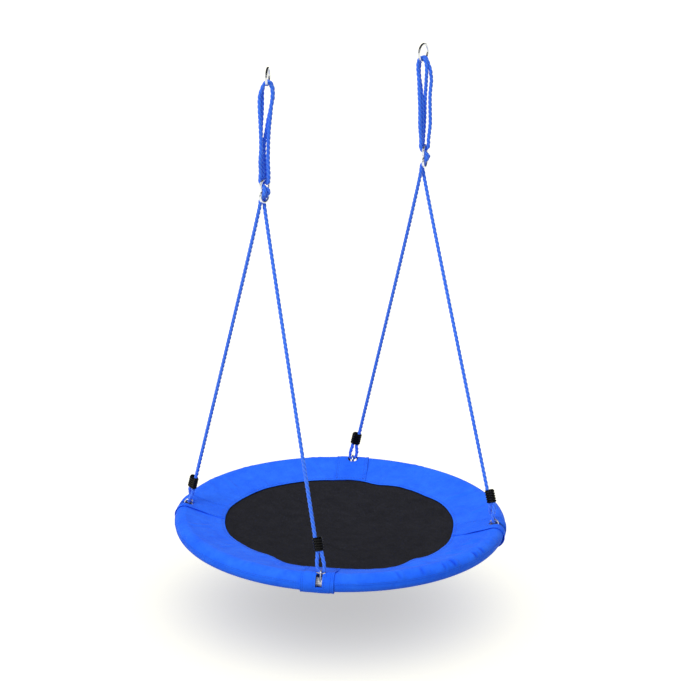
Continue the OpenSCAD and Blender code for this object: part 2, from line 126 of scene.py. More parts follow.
def eye_top(k): return tube_pt(k) + eye_dir(k) * (EYE_H - EYE_WIRE / 2)
LEG_H = (-8.4, 8.4, 8.4, -8.4)
def leg_end(k):
    s = -1 if k < 2 else 1
    return at(link_pt(s), LINK_YAW[i_of(s)], s, LEG_H[k], -8.8, -42)
def leg_dir(k): return unit(leg_end(k) - eye_top(k))
def tang(k): return V(-sd(AZ[k]), cd(AZ[k]), 0)


def across(k):
    t, l = tang(k), leg_dir(k)
    return unit(t - l * t.dot(l))


def ease(t):
    t = min(max(t, 0), 1)
    return t * t * (3 - 2 * t)


def wide(k, u):
    t = TWIST[k] * ease((u - 10) / (LOOP[k] - 14))
    return across(k) * cd(t) + np.cross(leg_dir(k), across(k)) * sd(t)
def loc(k, x, u): return eye_top(k) - leg_dir(k) * BEAR + wide(k, u) * x * SIDE[k] + leg_dir(k) * u
NEAR = [(4.7, 1.5), (7.9, 5.4), (9.4, 11.5), (10.2, 20)]
def run(k, a, b, n=3):
    return [(a[0] + (b[0] - a[0]) * ease(i / n), a[1] + (b[1] - a[1]) * i / n) for i in range(1, n)]
def loop_route(k):
    u0 = LOOP[k]
    lo, hi = CLAMP_MID[k] - CLAMP_X, CLAMP_MID[k] + CLAMP_X
    back = [(-p[0], p[1]) for p in NEAR]
    pts = ([(lo, u0 + CLAMP_LEN - 6), (lo, u0 - 1)] + run(k, (lo, u0 - 1), back[-1])
           + back[::-1] + [(0, 0)] + NEAR + run(k, NEAR[-1], (hi, u0 - 1)) + [(hi, u0 - 1), (hi, u0 + CLAMP_LEN)])
    return [loc(k, *p) for p in pts]


def crown(s, j):
    o = CROWN_OUT[i_of(s)][j]
    return [at(top_pt(s), RING_YAW[i_of(s)], s, (-5.3, 5.3)[j], p[0] + o[0 if p[0] < 0 else 1] * ease((-2 - p[1]) / 36), p[1])
            for p in CROWN]


def hang_pts(s, j):
    i = i_of(s)
    return [at(top_pt(s) + (link_pt(s) - top_pt(s)) * t, SPREAD_YAW[i], s, q[0], q[1], 0) for t, q in zip(DOWN[i], HANG[i][j])]


def leg_points(k, s, w, j):
    return loop_route(k) + [at(link_pt(s), LINK_YAW[i_of(s)], s, *p) for p in w] + hang_pts(s, j)[::-1]


def bight_points(s):
    """From the first crown to the second."""
    p = (hang_pts(s, 2) + [at(link_pt(s), LINK_YAW[i_of(s)], s, *p) for p in BIGHT] + hang_pts(s, 3)[::-1])
    return p if s < 0 else p[::-1]


# ---------------------------------------------------------------- camera, fitted to the photograph's view
CAM_E, CAM_D, CAM_F, CAM_YAW, CAM_PITCH, CAM_ROLL, CAM_PSI = (0.383421, 8000, 0.329347, -0.000987008, 0.315055, 0.0154767, 0.689296)


def make_camera():
    e, d = CAM_E, CAM_D
    pos = V(0, -d * cos(e), d * sin(e))
    fwd = V(sin(CAM_YAW) * cos(CAM_PITCH), cos(CAM_YAW) * cos(CAM_PITCH), -sin(CAM_PITCH))
    right = unit(np.cross(fwd, V(0, 0, 1)))
    up = np.cross(right, fwd)
    c, s = cos(CAM_ROLL), sin(CAM_ROLL)
    right, up = c * right + s * up, -s * right + c * up
    cz, sz = cos(-CAM_PSI), sin(-CAM_PSI)
    R = np.array([[cz, -sz, 0], [sz, cz, 0], [0, 0, 1]])
    pos, right, up, fwd = R @ pos + V(0, 0, RIM_Z), R @ right, R @ up, R @ fwd
    data = bpy.data.cameras.new("camera")
    data.sensor_width = 36.0
    data.lens = CAM_F * CAM_D / 681 * 36
    data.clip_start, data.clip_end = 0.1, 200
    cam = bpy.data.objects.new("camera", data)
    bpy.context.scene.collection.objects.link(cam)
    m = Matrix(((right[0], up[0], -fwd[0], pos[0] * MM), (right[1], up[1], -fwd[1], pos[1] * MM),
                (right[2], up[2], -fwd[2], pos[2] * MM), (0, 0, 0, 1)))
    cam.matrix_world = m
    bpy.context.scene.camera = cam


make_camera()


# ---------------------------------------------------------------- mesh helpers
class Mesh:
    """Collects grids and single faces, each loop with its own UV."""

    def __init__(self):
        self.v, self.f, self.uv, self.n = [], [], [], 0

    def points(self, p):
        p = np.asarray(p, float).reshape(-1, 3)
        self.v.append(p)
        self.n += len(p)
        return self.n - len(p)

    def face(self, idx, uv=None):
        self.f.append(tuple(int(i) for i in idx))
        self.uv.append([(0.0, 0.0)] * len(idx) if uv is None else [tuple(x) for x in uv])

    def grid(self, P, ci=False, cj=False, U=None, W=None, flip=False):
        P = np.asarray(P, float)
        n, m = P.shape[:2]
        o = self.points(P)
        I, J = (n if ci else n - 1), (m if cj else m - 1)
        U = np.linspace(0, 1, I + 1) if U is None else np.asarray(U, float)
        W = np.linspace(0, 1, J + 1) if W is None else np.asarray(W, float)
        for i in range(I):
            a, b = o + i * m, o + ((i + 1) % n) * m
            for j in range(J):
                k = (j + 1) % m
                q = (a + j, b + j, b + k, a + k)
                w = ((U[i], W[j]), (U[i + 1], W[j]), (U[i + 1], W[j + 1]), (U[i], W[j + 1]))
                if flip:
                    q, w = q[::-1], w[::-1]
                self.f.append(q)
                self.uv.append(w)
        return o

    def build(self, name, smooth=True):
        me = bpy.data.meshes.new(name)
        v = np.concatenate(self.v) * MM
        me.from_pydata(v.tolist(), [], self.f)
        uv = me.uv_layers.new(name="UVMap")
        uv.data.foreach_set("uv", np.array([c for f in self.uv for p in f for c in p], np.float32))
        me.polygons.foreach_set("use_smooth", [smooth] * len(me.polygons))
        me.update()
        o = bpy.data.objects.new(name, me)
        bpy.context.scene.collection.objects.link(o)
        return o


def bake_modifiers(o):
    dg = bpy.context.evaluated_depsgraph_get()
    me = bpy.data.meshes.new_from_object(o.evaluated_get(dg), preserve_all_data_layers=True, depsgraph=dg)
    o.modifiers.clear()
    old = o.data
    o.data = me
    bpy.data.meshes.remove(old)
    return o


def spline(ctrl, step):
    """Centripetal Catmull-Rom through the points, then evenly spaced. Returns the points and where each control point falls."""
    P = np.array(ctrl, float)
    keep = [0] + [i for i in range(1, len(P)) if np.linalg.norm(P[i] - P[i - 1]) > 1e-6]
    P = P[keep]
    E = np.vstack([2 * P[0] - P[1], P, 2 * P[-1] - P[-2]])
    t = np.concatenate([[0], np.cumsum(np.sqrt(np.linalg.norm(np.diff(E, axis=0), axis=1)))])
    out, marks = [], [0]
    for i in range(1, len(E) - 2):
        p0, p1, p2, p3 = E[i - 1:i + 3]
        t0, t1, t2, t3 = t[i - 1:i + 3]
        n = max(2, int(ceil(np.linalg.norm(p2 - p1) / 0.4)))
        x = np.linspace(t1, t2, n, endpoint=False)[:, None]
        a1 = (t1 - x) / (t1 - t0) * p0 + (x - t0) / (t1 - t0) * p1
        a2 = (t2 - x) / (t2 - t1) * p1 + (x - t1) / (t2 - t1) * p2
        a3 = (t3 - x) / (t3 - t2) * p2 + (x - t2) / (t3 - t2) * p3
        b1 = (t2 - x) / (t2 - t0) * a1 + (x - t0) / (t2 - t0) * a2
        b2 = (t3 - x) / (t3 - t1) * a2 + (x - t1) / (t3 - t1) * a3
        out.append((t2 - x) / (t2 - t1) * b1 + (x - t1) / (t2 - t1) * b2)
        marks.append(marks[-1] + n)
    out = np.vstack(out + [P[-1:]])
    L = np.concatenate([[0], np.cumsum(np.linalg.norm(np.diff(out, axis=0), axis=1))])
    n = max(2, int(round(L[-1] / step)) + 1)
    s = np.linspace(0, L[-1], n)
    Q = np.stack([np.interp(s, L, out[:, c]) for c in range(3)], 1)
    return Q, s, L[np.array(marks)]


def frames(Q):
    """Frames that turn as little as possible along the points."""
    T = np.gradient(Q, axis=0)
    T /= np.linalg.norm(T, axis=1)[:, None]
    N = np.zeros_like(Q)
    a = V(0.31, 0.83, 0.11)
    N[0] = unit(a - T[0] * a.dot(T[0]))
    for i in range(1, len(Q)):
        v = Q[i] - Q[i - 1]
        c = v.dot(v)
        r = N[i - 1] - v * (2 / c * v.dot(N[i - 1]))
        t = T[i - 1] - v * (2 / c * v.dot(T[i - 1]))
        w = T[i] - t
        c2 = w.dot(w)
        r = r - w * (2 / c2 * w.dot(r)) if c2 > 1e-12 else r
        N[i] = unit(r - T[i] * r.dot(T[i]))
    return T, N, np.cross(T, N)


def rng(seed):
    return np.random.default_rng(seed)


def smooth_noise(n, scale, seed, periodic=True):
    """A smooth line of noise, about -1 to 1, with bumps every n / scale steps."""
    r = rng(seed)
    x = np.linspace(0, 1, n, endpoint=False)
    out = np.zeros(n)
    for k in range(1, int(scale * 2) + 1):
        a = np.exp(-((k / scale) ** 2)) * r.normal()
        out += a * np.sin(2 * pi * (k * x + r.random()))
    return out / (np.abs(out).max() + 1e-9)


def smoothstep(x, a, b):
    t = np.clip((np.asarray(x, float) - a) / (b - a), 0, 1)
    return t * t * (3 - 2 * t)


# ---------------------------------------------------------------- materials
def new_mat(name):
    m = bpy.data.materials.new(name)
    m.use_nodes = True
    nt = m.node_tree
    return m, nt, nt.nodes["Principled BSDF"]


def node(nt, kind, x=0, y=0, **kw):
    n = nt.nodes.new(kind)
    n.location = (x, y)
    for k, v in kw.items():
        setattr(n, k, v)
    return n


def math_node(nt, op, a, b=None, clamp=False):
    n = node(nt, "ShaderNodeMath", operation=op, use_clamp=clamp)
    for i, v in enumerate((a, b)):
        if v is None:
            continue
        if isinstance(v, (int, float)):
            n.inputs[i].default_value = v
        else:
            nt.links.new(v, n.inputs[i])
    return n.outputs[0]


def mix_colour(nt, fac, a, b):
    n = node(nt, "ShaderNodeMix", data_type="RGBA")
    for sock, v in ((n.inputs[0], fac), (n.inputs[6], a), (n.inputs[7], b)):
        if hasattr(v, "is_output"):
            nt.links.new(v, sock)
        else:
            sock.default_value = v if isinstance(v, (int, float)) else (*v, 1)
    return n.outputs[2]


def ramp(nt, fac, stops):
    n = node(nt, "ShaderNodeValToRGB")
    while len(n.color_ramp.elements) > 1:
        n.color_ramp.elements.remove(n.color_ramp.elements[-1])
    n.color_ramp.elements[0].position = stops[0][0]
    n.color_ramp.elements[0].color = (*stops[0][1], 1)
    for p, c in stops[1:]:
        n.color_ramp.elements.new(p).color = (*c, 1)
    nt.links.new(fac, n.inputs[0])
    return n.outputs[0]


def noise(nt, vec, scale, detail=3.0, rough=0.55):
    n = node(nt, "ShaderNodeTexNoise")
    n.inputs["Scale"].default_value = scale
    n.inputs["Detail"].default_value = detail
    n.inputs["Roughness"].default_value = rough
    nt.links.new(vec, n.inputs["Vector"])
    return n.outputs["Fac"]


def uv_xy(nt, ku, kv):
    """The piece's UV, in metres, as two wave phases."""
    t = node(nt, "ShaderNodeTexCoord")
    s = node(nt, "ShaderNodeSeparateXYZ")
    nt.links.new(t.outputs["UV"], s.inputs[0])
    return math_node(nt, "MULTIPLY", s.outputs[0], ku), math_node(nt, "MULTIPLY", s.outputs[1], kv), t


def bump(nt, height, strength, distance, base=None):
    n = node(nt, "ShaderNodeBump")
    n.inputs["Strength"].default_value = strength
    n.inputs["Distance"].default_value = distance
    nt.links.new(height, n.inputs["Height"])
    if base is not None:
        nt.links.new(base, n.inputs["Normal"])
    return n.outputs[0]


def fabric(name, light, dark, pitch=0.0009, rough=0.66, sheen=0.03, mottled=0.6, weave_depth=0.00012, fleck=None,
           spec=0.09, painted_crease_shade=0.0):
    """Plain-woven cloth. UV is in metres on the cloth."""
    m, nt, b = new_mat(name)
    u, v, t = uv_xy(nt, 2 * pi / pitch, 2 * pi / pitch)
    su, sv = math_node(nt, "SINE", u), math_node(nt, "SINE", v)
    weave = math_node(nt, "MULTIPLY", su, sv)
    weave01 = math_node(nt, "MULTIPLY_ADD", weave, 0.5)
    weave01.node.inputs[2].default_value = 0.5
    broad = noise(nt, t.outputs["Object"], 9.0, 4.0, 0.6)
    fine = noise(nt, t.outputs["Object"], 160.0, 3.0, 0.6)
    rumple_bump_and_shade = noise(nt, t.outputs["Object"], 26.0, 3.0, 0.55)
    f = math_node(nt, "MULTIPLY_ADD", broad, mottled)
    f.node.inputs[2].default_value = 0.5 - mottled / 2
    f = math_node(nt, "ADD", f, math_node(nt, "MULTIPLY", math_node(nt, "SUBTRACT", fine, 0.5), 0.25))
    # painted shade of small rumples in the colour; the same noise also bumps the cloth
    f = math_node(nt, "ADD", f, math_node(nt, "MULTIPLY", math_node(nt, "SUBTRACT", rumple_bump_and_shade, 0.5), 0.7))
    f = math_node(nt, "ADD", f, math_node(nt, "MULTIPLY", math_node(nt, "SUBTRACT", weave01, 0.5), 0.35), clamp=True)
    col = mix_colour(nt, f, dark, light)
    if fleck is not None:
        sp = noise(nt, t.outputs["Object"], 420.0, 2.0, 0.7)
        col = mix_colour(nt, ramp(nt, sp, [(0.58, (0, 0, 0)), (0.72, (1, 1, 1))]), col, fleck)
    # painted shade: the colour darkens to a deeper blue where the mesh's crease weight is high
    if painted_crease_shade:
        crease_shade_attr = node(nt, "ShaderNodeAttribute")
        crease_shade_attr.attribute_name = "painted_crease_shade"
        crease_shade_fac = math_node(nt, "MULTIPLY", crease_shade_attr.outputs["Fac"], painted_crease_shade, clamp=True)
        col = mix_colour(nt, crease_shade_fac, col, tuple(c * k for c, k in zip(dark, (0.5, 0.55, 0.80))))
    nt.links.new(col, b.inputs["Base Color"])
    r = math_node(nt, "MULTIPLY_ADD", fine, 0.16)
    r.node.inputs[2].default_value = rough - 0.08
    nt.links.new(r, b.inputs["Roughness"])
    b.inputs["Sheen Weight"].default_value = sheen
    b.inputs["Sheen Roughness"].default_value = 0.45
    b.inputs["Specular IOR Level"].default_value = spec
    nrm = bump(nt, weave01, 0.6, weave_depth)
    nrm = bump(nt, fine, 0.25, 0.0006, nrm)
    nrm = bump(nt, rumple_bump_and_shade, 0.5, 0.009, nrm)
    nt.links.new(nrm, b.inputs["Normal"])
    return m


def rope_material(name):
    """Laid synthetic rope. U runs round one turn of the rope in strands, V along it in metres."""
    m, nt, b = new_mat(name)
    t = node(nt, "ShaderNodeTexCoord")
    s = node(nt, "ShaderNodeSeparateXYZ")
    nt.links.new(t.outputs["UV"], s.inputs[0])
    # yarns cross each strand on a slant: their phase mixes round and along
    ph = math_node(nt, "ADD", math_node(nt, "MULTIPLY", s.outputs[0], 2 * pi * 21), math_node(nt, "MULTIPLY", s.outputs[1], 2 * pi * 180))
    yarn = math_node(nt, "SINE", ph)
    yarn01 = math_node(nt, "MULTIPLY_ADD", yarn, 0.5)
    yarn01.node.inputs[2].default_value = 0.5
    fine = noise(nt, t.outputs["Object"], 900.0, 2.0, 0.6)
    broad = noise(nt, t.outputs["Object"], 30.0, 2.0, 0.5)
    # U is 0 in a groove and 0.5 on the crest of each strand; the colour is painted lighter on the crests and darker in
    # the grooves, as painted shade between the strands, mixed with the fibres' own tone
    fr = math_node(nt, "FRACT", math_node(nt, "MULTIPLY", s.outputs[0], 3.0))
    crest_light_groove_shade = math_node(nt, "SUBTRACT", 1.0, math_node(nt, "ABSOLUTE", math_node(nt, "MULTIPLY", math_node(nt, "SUBTRACT", fr, 0.5), 2.0)))
    f = math_node(nt, "ADD", math_node(nt, "MULTIPLY", crest_light_groove_shade, 0.95), math_node(nt, "MULTIPLY", math_node(nt, "SUBTRACT", fine, 0.5), 0.5))
    f = math_node(nt, "ADD", f, math_node(nt, "MULTIPLY", math_node(nt, "SUBTRACT", yarn01, 0.5), 0.30))
    f = math_node(nt, "ADD", f, math_node(nt, "MULTIPLY", math_node(nt, "SUBTRACT", broad, 0.5), 0.5), clamp=True)
    col = mix_colour(nt, f, (0.013, 0.110, 0.80), (0.052, 0.222, 0.90))
    nt.links.new(col, b.inputs["Base Color"])
    # painted light: the rope glows a little in its own colour, so packed strands stay blue where they shade each other
    nt.links.new(col, b.inputs["Emission Color"])
    b.inputs["Emission Strength"].default_value = 0.060
    b.inputs["Roughness"].default_value = 0.48
    b.inputs["Sheen Weight"].default_value = 0.2
    b.inputs["Specular IOR Level"].default_value = 0.28
    nrm = bump(nt, yarn01, 0.55, 0.00035)
    nrm = bump(nt, fine, 0.2, 0.0003, nrm)
    nt.links.new(nrm, b.inputs["Normal"])
    return m


def steel(name, colour, rough, scratch=0.12, spot=None, metal=1.0):
    m, nt, b = new_mat(name)
    t = node(nt, "ShaderNodeTexCoord")
    n1 = noise(nt, t.outputs["Object"], 260.0, 5.0, 0.65)
    n2 = noise(nt, t.outputs["Object"], 40.0, 3.0, 0.5)
    col = mix_colour(nt, n2, tuple(c * 0.82 for c in colour), colour)
    if spot is not None:
        col = mix_colour(nt, ramp(nt, n1, [(0.60, (0, 0, 0)), (0.75, (1, 1, 1))]), col, spot)
    nt.links.new(col, b.inputs["Base Color"])
    b.inputs["Metallic"].default_value = metal
    r = math_node(nt, "MULTIPLY_ADD", n1, scratch * 2)
    r.node.inputs[2].default_value = rough - scratch
    nt.links.new(r, b.inputs["Roughness"])
    nt.links.new(bump(nt, n1, 0.12, 0.0002), b.inputs["Normal"])
    return m


def plastic(name, colour, rough, spec=0.5):
    m, nt, b = new_mat(name)
    t = node(nt, "ShaderNodeTexCoord")
    n1 = noise(nt, t.outputs["Object"], 700.0, 3.0, 0.6)
    n2 = noise(nt, t.outputs["Object"], 60.0, 3.0, 0.5)
    col = mix_colour(nt, n2, tuple(c * 0.7 for c in colour), tuple(c * 1.35 for c in colour))
    nt.links.new(col, b.inputs["Base Color"])
    r = math_node(nt, "MULTIPLY_ADD", n2, 0.2)
    r.node.inputs[2].default_value = rough - 0.1
    nt.links.new(r, b.inputs["Roughness"])
    b.inputs["Specular IOR Level"].default_value = spec
    nt.links.new(bump(nt, n1, 0.25, 0.0002), b.inputs["Normal"])
    return m


# the ring cloth gets painted shade in its creases
M_BLUE = fabric("cloth_blue", (0.027, 0.186, 0.98), (0.002, 0.080, 0.82), painted_crease_shade=0.85)
M_FLAP = fabric("cloth_blue_flap", (0.023, 0.174, 0.95), (0.002, 0.078, 0.79))
M_PANEL = fabric("cloth_panel_black", (0.024, 0.024, 0.029), (0.008, 0.008, 0.010), pitch=0.0032, rough=0.75, sheen=0.0,
                 mottled=0.35, weave_depth=0.0005, fleck=(0.042, 0.044, 0.070), spec=0.05)
M_ROPE = rope_material("rope_blue_laid")
M_THREAD = fabric("thread_blue", (0.006, 0.045, 0.42), (0.003, 0.022, 0.25), pitch=0.0008, rough=0.5, sheen=0.2)
M_CHROME = steel("steel_bright", (0.74, 0.77, 0.83), 0.11, 0.05)
M_LINK = steel("steel_link", (0.82, 0.86, 0.95), 0.25, 0.06)
M_ZINC = steel("steel_zinc", (0.78, 0.84, 0.97), 0.26, 0.08, spot=(0.64, 0.69, 0.80))
M_TUBE = steel("steel_tube", (0.80, 0.80, 0.80), 0.34, 0.10, spot=(0.72, 0.73, 0.74), metal=0.30)
M_CLAMP = plastic("clamp_black", (0.0022, 0.0022, 0.0025), 0.22, spec=0.16)
M_FOAM = plastic("foam_grey", (0.055, 0.056, 0.06), 0.85)
M_HOOK = fabric("tape_hook", (0.020, 0.020, 0.022), (0.008, 0.008, 0.009), pitch=0.0016, rough=0.6, weave_depth=0.0006)
M_LOOP = fabric("tape_loop", (0.030, 0.030, 0.032), (0.012, 0.012, 0.013), pitch=0.0012, rough=0.9, sheen=0.6, weave_depth=0.0004)


def paint(o, m):
    o.data.materials.clear()
    o.data.materials.append(m)
    return o


# ---------------------------------------------------------------- ropes: one laid rope to each side
ROPE_OUT = 11.8                             # a little over the nominal size: laid rope swells between its turns
LAY, STEP, SECT = 43.0, 2.0, 24
STRAND_R = ROPE_OUT / 2 * 0.4641
STRAND_C = ROPE_OUT / 2 - STRAND_R


def lobes(m):
    """Radius of a three-strand section, and the share of the way round each corner."""
    a = np.arange(m) / m * 2 * pi
    r = np.zeros(m)
    for k in range(3):
        d = (a - (2 * k + 1) * pi / 3 + pi) % (2 * pi) - pi
        q = STRAND_R ** 2 - (STRAND_C * np.sin(d)) ** 2
        r = np.maximum(r, np.where(q > 0, STRAND_C * np.cos(d) + np.sqrt(np.maximum(q, 0)), 0))
    return a, np.maximum(r, ROPE_OUT / 2 * 0.62) * 0.72 + ROPE_OUT / 2 * 0.265


def side_rope(s):
    ka, kb = (0, 1) if s < 0 else (3, 2)
    ctrl = leg_points(ka, s, WEAVE_L, 0)
    c1 = len(ctrl)
    ctrl += crown(s, 0)
    c2 = len(ctrl) - 1
    ctrl += bight_points(s)
    c3 = len(ctrl)
    ctrl += crown(s, 1)[::-1]
    c4 = len(ctrl) - 1
    ctrl += leg_points(kb, s, WEAVE_R, 1)[::-1]
    Q, L, marks = spline(ctrl, STEP)
    T, N, B = frames(Q)
    a, r = lobes(SECT)
    turn = L / LAY * 2 * pi
    wob = 1 + 0.012 * smooth_noise(len(Q), 200, 7 + s)
    for k in (ka, kb):                      # pressed where it bears on the eye
        d = np.linalg.norm(Q - eye_top(k)[None], axis=1)
        wob *= 1 - 0.16 * np.exp(-(np.maximum(d - 8.7, 0) / 8.0) ** 2)
    A = a[None] - turn[:, None]
    ring = (Q[:, None] + (N[:, None] * np.cos(A)[..., None] + B[:, None] * np.sin(A)[..., None])
            * (r[None] * wob[:, None])[..., None])
    cut = [0] + [int(round(marks[c] / L[-1] * (len(Q) - 1))) for c in (c1, c2, c3, c4)] + [len(Q) - 1]
    x = "a" if s < 0 else "b"
    names = ["rope_%s_leg_%s" % (x, SIDES[ka]), "rope_%s_crown_near" % x, "rope_%s_bight" % x,
             "rope_%s_crown_far" % x, "rope_%s_leg_%s" % (x, SIDES[kb])]
    out = []
    for i, name in enumerate(names):
        i0, i1 = cut[i], cut[i + 1] + 1
        me = Mesh()
        R = ring[i0:i1]
        o0 = me.grid(R, cj=True, U=L[i0:i1] * MM, W=np.arange(SECT + 1) / SECT)
        n = len(R)
        me.face([o0 + j for j in range(SECT)])
        me.face([o0 + (n - 1) * SECT + j for j in range(SECT)][::-1])
        for q in range(len(me.uv)):
            me.uv[q] = [(w[1], w[0]) for w in me.uv[q]]
        o = me.build(name)
        paint(o, M_ROPE)
        out.append((o, Q[i0:i1], float(L[i1 - 1] - L[i0])))
    return out


for s in (-1, 1):
    x = "a" if s < 0 else "b"
    parts = side_rope(s)
    for i, (o, path, length) in enumerate(parts):
        if i in (1, 3):
            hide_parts("rope_%s_crown" % x)
            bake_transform(o)
        else:
            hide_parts("rope_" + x)
            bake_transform(o)


# ---------------------------------------------------------------- rope clamps: ribbed moulded barrels
def stadium(x, y, m=64):
    """Corners of a slot outline, evenly spaced."""
    c = x - y
    per = 4 * c + 2 * pi * y
    out = []
    for i in range(m):
        t = per * i / m
        if t < 2 * c:
            out.append((c - t, y))
        elif t < 2 * c + pi * y:
            a = pi / 2 + (t - 2 * c) / y
            out.append((-c + y * cos(a), y * sin(a)))
        elif t < 4 * c + pi * y:
            out.append((-c + (t - 2 * c - pi * y), -y))
        else:
            a = -pi / 2 + (t - 4 * c - pi * y) / y
            out.append((c + y * cos(a), y * sin(a)))
    return np.array(out)


def clamp_mesh(k):
    u, x = leg_dir(k), wide(k, LOOP[k])
    y = np.cross(u, x)
    o = loc(k, CLAMP_MID[k], LOOP[k])
    pitch = CLAMP_LEN / (CLAMP_RIBS + 0.4)
    prof = [(0.0, -3.0), (0.3, -1.8), (1.0, -0.9)]
    for i in range(CLAMP_RIBS):
        a = pitch * (i + 0.12)
        w = pitch * 0.80
        for f, g in ((0.00, -0.9), (0.06, -0.2), (0.17, 0.55), (0.32, 0.98), (0.5, 1.15), (0.68, 0.98), (0.83, 0.55), (0.94, -0.2), (1.0, -0.9)):
            prof.append((a + w * f, g))
        if i < CLAMP_RIBS - 1:
            prof.append((a + w + (pitch - w) * 0.5, -1.25))
    prof += [(CLAMP_LEN - 1.0, -0.9), (CLAMP_LEN - 0.3, -1.8), (CLAMP_LEN, -3.0)]
    prof = sorted(prof, key=lambda p: p[0])
    me = Mesh()
    rings = []
    for z, g in prof:
        S = stadium(14.2 + g, 8.6 + g)
        rings.append([o + x * a + y * b + u * z for a, b in S])
    R = np.array(rings)
    o0 = me.grid(R, cj=True, U=np.array([p[0] for p in prof]) * MM, W=np.linspace(0, 0.08, 65), flip=True)
    m = R.shape[1]
    # dished ends: a step in towards the two bores
    for end, sign in ((0, 1), (len(prof) - 1, -1)):
        z = prof[end][0]
        prev = o0 + end * m
        for inset, dz in ((1.1, 0.0), (1.7, 1.2)):
            S = stadium(11.6 - inset, 6.0 - inset, 64)
            q = me.points([o + x * a + y * b + u * (z + sign * dz) for a, b in S])
            for j in range(m):
                f = (prev + j, prev + (j + 1) % m, q + (j + 1) % m, q + j)
                me.face(f if sign > 0 else f[::-1])
            prev = q
        f = [prev + j for j in range(m)]
        me.face(f if sign > 0 else f[::-1])
    ob = me.build("rope_clamp_" + SIDES[k] + "_moulded")
    paint(ob, M_CLAMP)
    return ob


for k in range(4):
    c = clamp_mesh(k)
    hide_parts("rope_clamp_" + SIDES[k])
    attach(c, "hanger_a" if k < 2 else "hanger_b")


# ---------------------------------------------------------------- seat: the line of the dark panel's edge
EDGE = [(2, -2.4), (8.5, 1.9), (14.6, 3), (20.7, 4), (25, -1.5), (29.4, -11.5), (32.5, -10.4), (36, -2.3), (40, 4.5),
        (45, 8.6), (51, 4.1), (57, 3.9), (63, 6.5), (72, 6), (81, 6), (90, 7.5), (96, 5.5), (105.6, 2.4), (114.8, 2.4),
        (122, 4), (130, 0.7), (139.5, -1.4), (151.6, -1.7), (160.6, -1.4), (167, -4.4), (175.8, -7.2), (184.7, -7.8),
        (190.5, -13), (195.5, -10.5), (200, 0), (205, 11.5), (213, 12), (222, 10), (231, 11), (237, 14.7), (243.5, 21.7),
        (250, 26.5), (256.3, 27), (261.5, 17.4), (266, 5.5), (269, 3.5), (273, 11.5), (279.2, 13.4), (285, 9.9),
        (290, 6.5), (296, 4.1), (302, -0.8), (308, -5), (314, -7.4), (320, -6.8), (328, -4.7), (336, -3.4), (342, 0),
        (350, 2.8), (356, 1)]
EDGE_R, EDGE_Z = 351.0, -2.6
_ea = np.array([a for a, _ in EDGE], float)
_ed = np.array([d for _, d in EDGE], float)


def edge_r(az):
    """Radius of the blue ring's inner hem at an azimuth in degrees."""
    a = np.asarray(az, float) % 360
    xa = np.concatenate([_ea[-2:] - 360, _ea, _ea[:2] + 360])
    xd = np.concatenate([_ed[-2:], _ed, _ed[:2]])
    return EDGE_R + np.interp(a, xa, xd)


NAZ = 720
AZS = np.arange(NAZ) * 360.0 / NAZ
_er = edge_r(AZS)
_k = np.exp(-0.5 * (np.arange(-9, 10) / 3.0) ** 2)
_k /= _k.sum()
ER = np.convolve(np.concatenate([_er[-9:], _er, _er[:9]]), _k, "valid")

# folds: [azimuth, half width, from, to, height, slant], from and to along the ring's slope (0 hem, 1 over the rim)
FOLDS = [(262, 0.8, 0.05, 0.75, 1.6, 3), (266, 0.7, 0.25, 0.9, 1.2, -3), (271, 1.2, 0.1, 0.6, 1.1, 4),
         (281, 0.8, 0.35, 1.0, 1.5, 5), (285, 0.7, 0.3, 0.85, 1.3, -4), (293, 0.9, 0.45, 1.0, 1.3, 4),
         (298, 0.7, 0.5, 1.0, 1.2, -3), (252, 1.0, 0.0, 0.5, 1.0, 0), (205, 1.2, 0.0, 0.55, 1.0, 3),
         (192, 1.0, 0.0, 0.45, 0.9, -4), (30, 1.0, 0.0, 0.5, 1.0, 2), (89, 1.1, 0.0, 0.4, 0.8, 0),
         (60, 1.1, 0.25, 0.9, 0.8, 5), (104, 1.3, 0.3, 1.0, 0.7, -4), (152, 1.3, 0.3, 1.0, 0.7, 4), (176, 1.1, 0.2, 0.8, 0.8, 6),
         (330, 1.0, 0.4, 1.0, 0.8, 3), (350, 1.3, 0.2, 0.9, 0.7, -5), (15, 1.2, 0.3, 0.95, 0.7, 4)]


# pinched dents on the rim's outer side: [azimuth, half width, from, to, height, slant], heights stand proud on both sides of each
PINCH = [(272.5, 0.80, 1.03, 1.335, 4.6, 5), (268.6, 0.70, 1.06, 1.335, 2.9, 0), (259.5, 0.75, 1.05, 1.33, 2.7, 2), (250.5, 0.75, 1.04, 1.33, 2.4, 5),
         (283.5, 0.80, 1.08, 1.335, 4.0, 3), (288.0, 0.75, 1.06, 1.33, 3.4, 3), (297.0, 0.9, 1.00, 1.26, 1.3, 4), (212.0, 0.9, 1.05, 1.30, 1.1, 6),
         (196.0, 0.9, 1.02, 1.26, 1.2, -6), (171.0, 0.9, 1.00, 1.24, 1.2, 5), (152.0, 0.9, 1.04, 1.28, 1.0, -5), (60.0, 0.9, 1.00, 1.24, 1.2, 4),
         (88.0, 0.9, 1.02, 1.26, 1.0, -4), (20.0, 0.9, 1.00, 1.26, 1.2, 5), (341.0, 0.9, 1.02, 1.28, 1.1, -5), (106.0, 0.9, 1.00, 1.26, 1.1, 4)]


def tan_deg(r0, z0, c):
    dx, dz = RIM_R - r0, -z0
    d = np.hypot(dx, dz)
    return 90 + np.degrees(np.arctan2(dz, dx)) + np.degrees(np.arcsin(c / d))


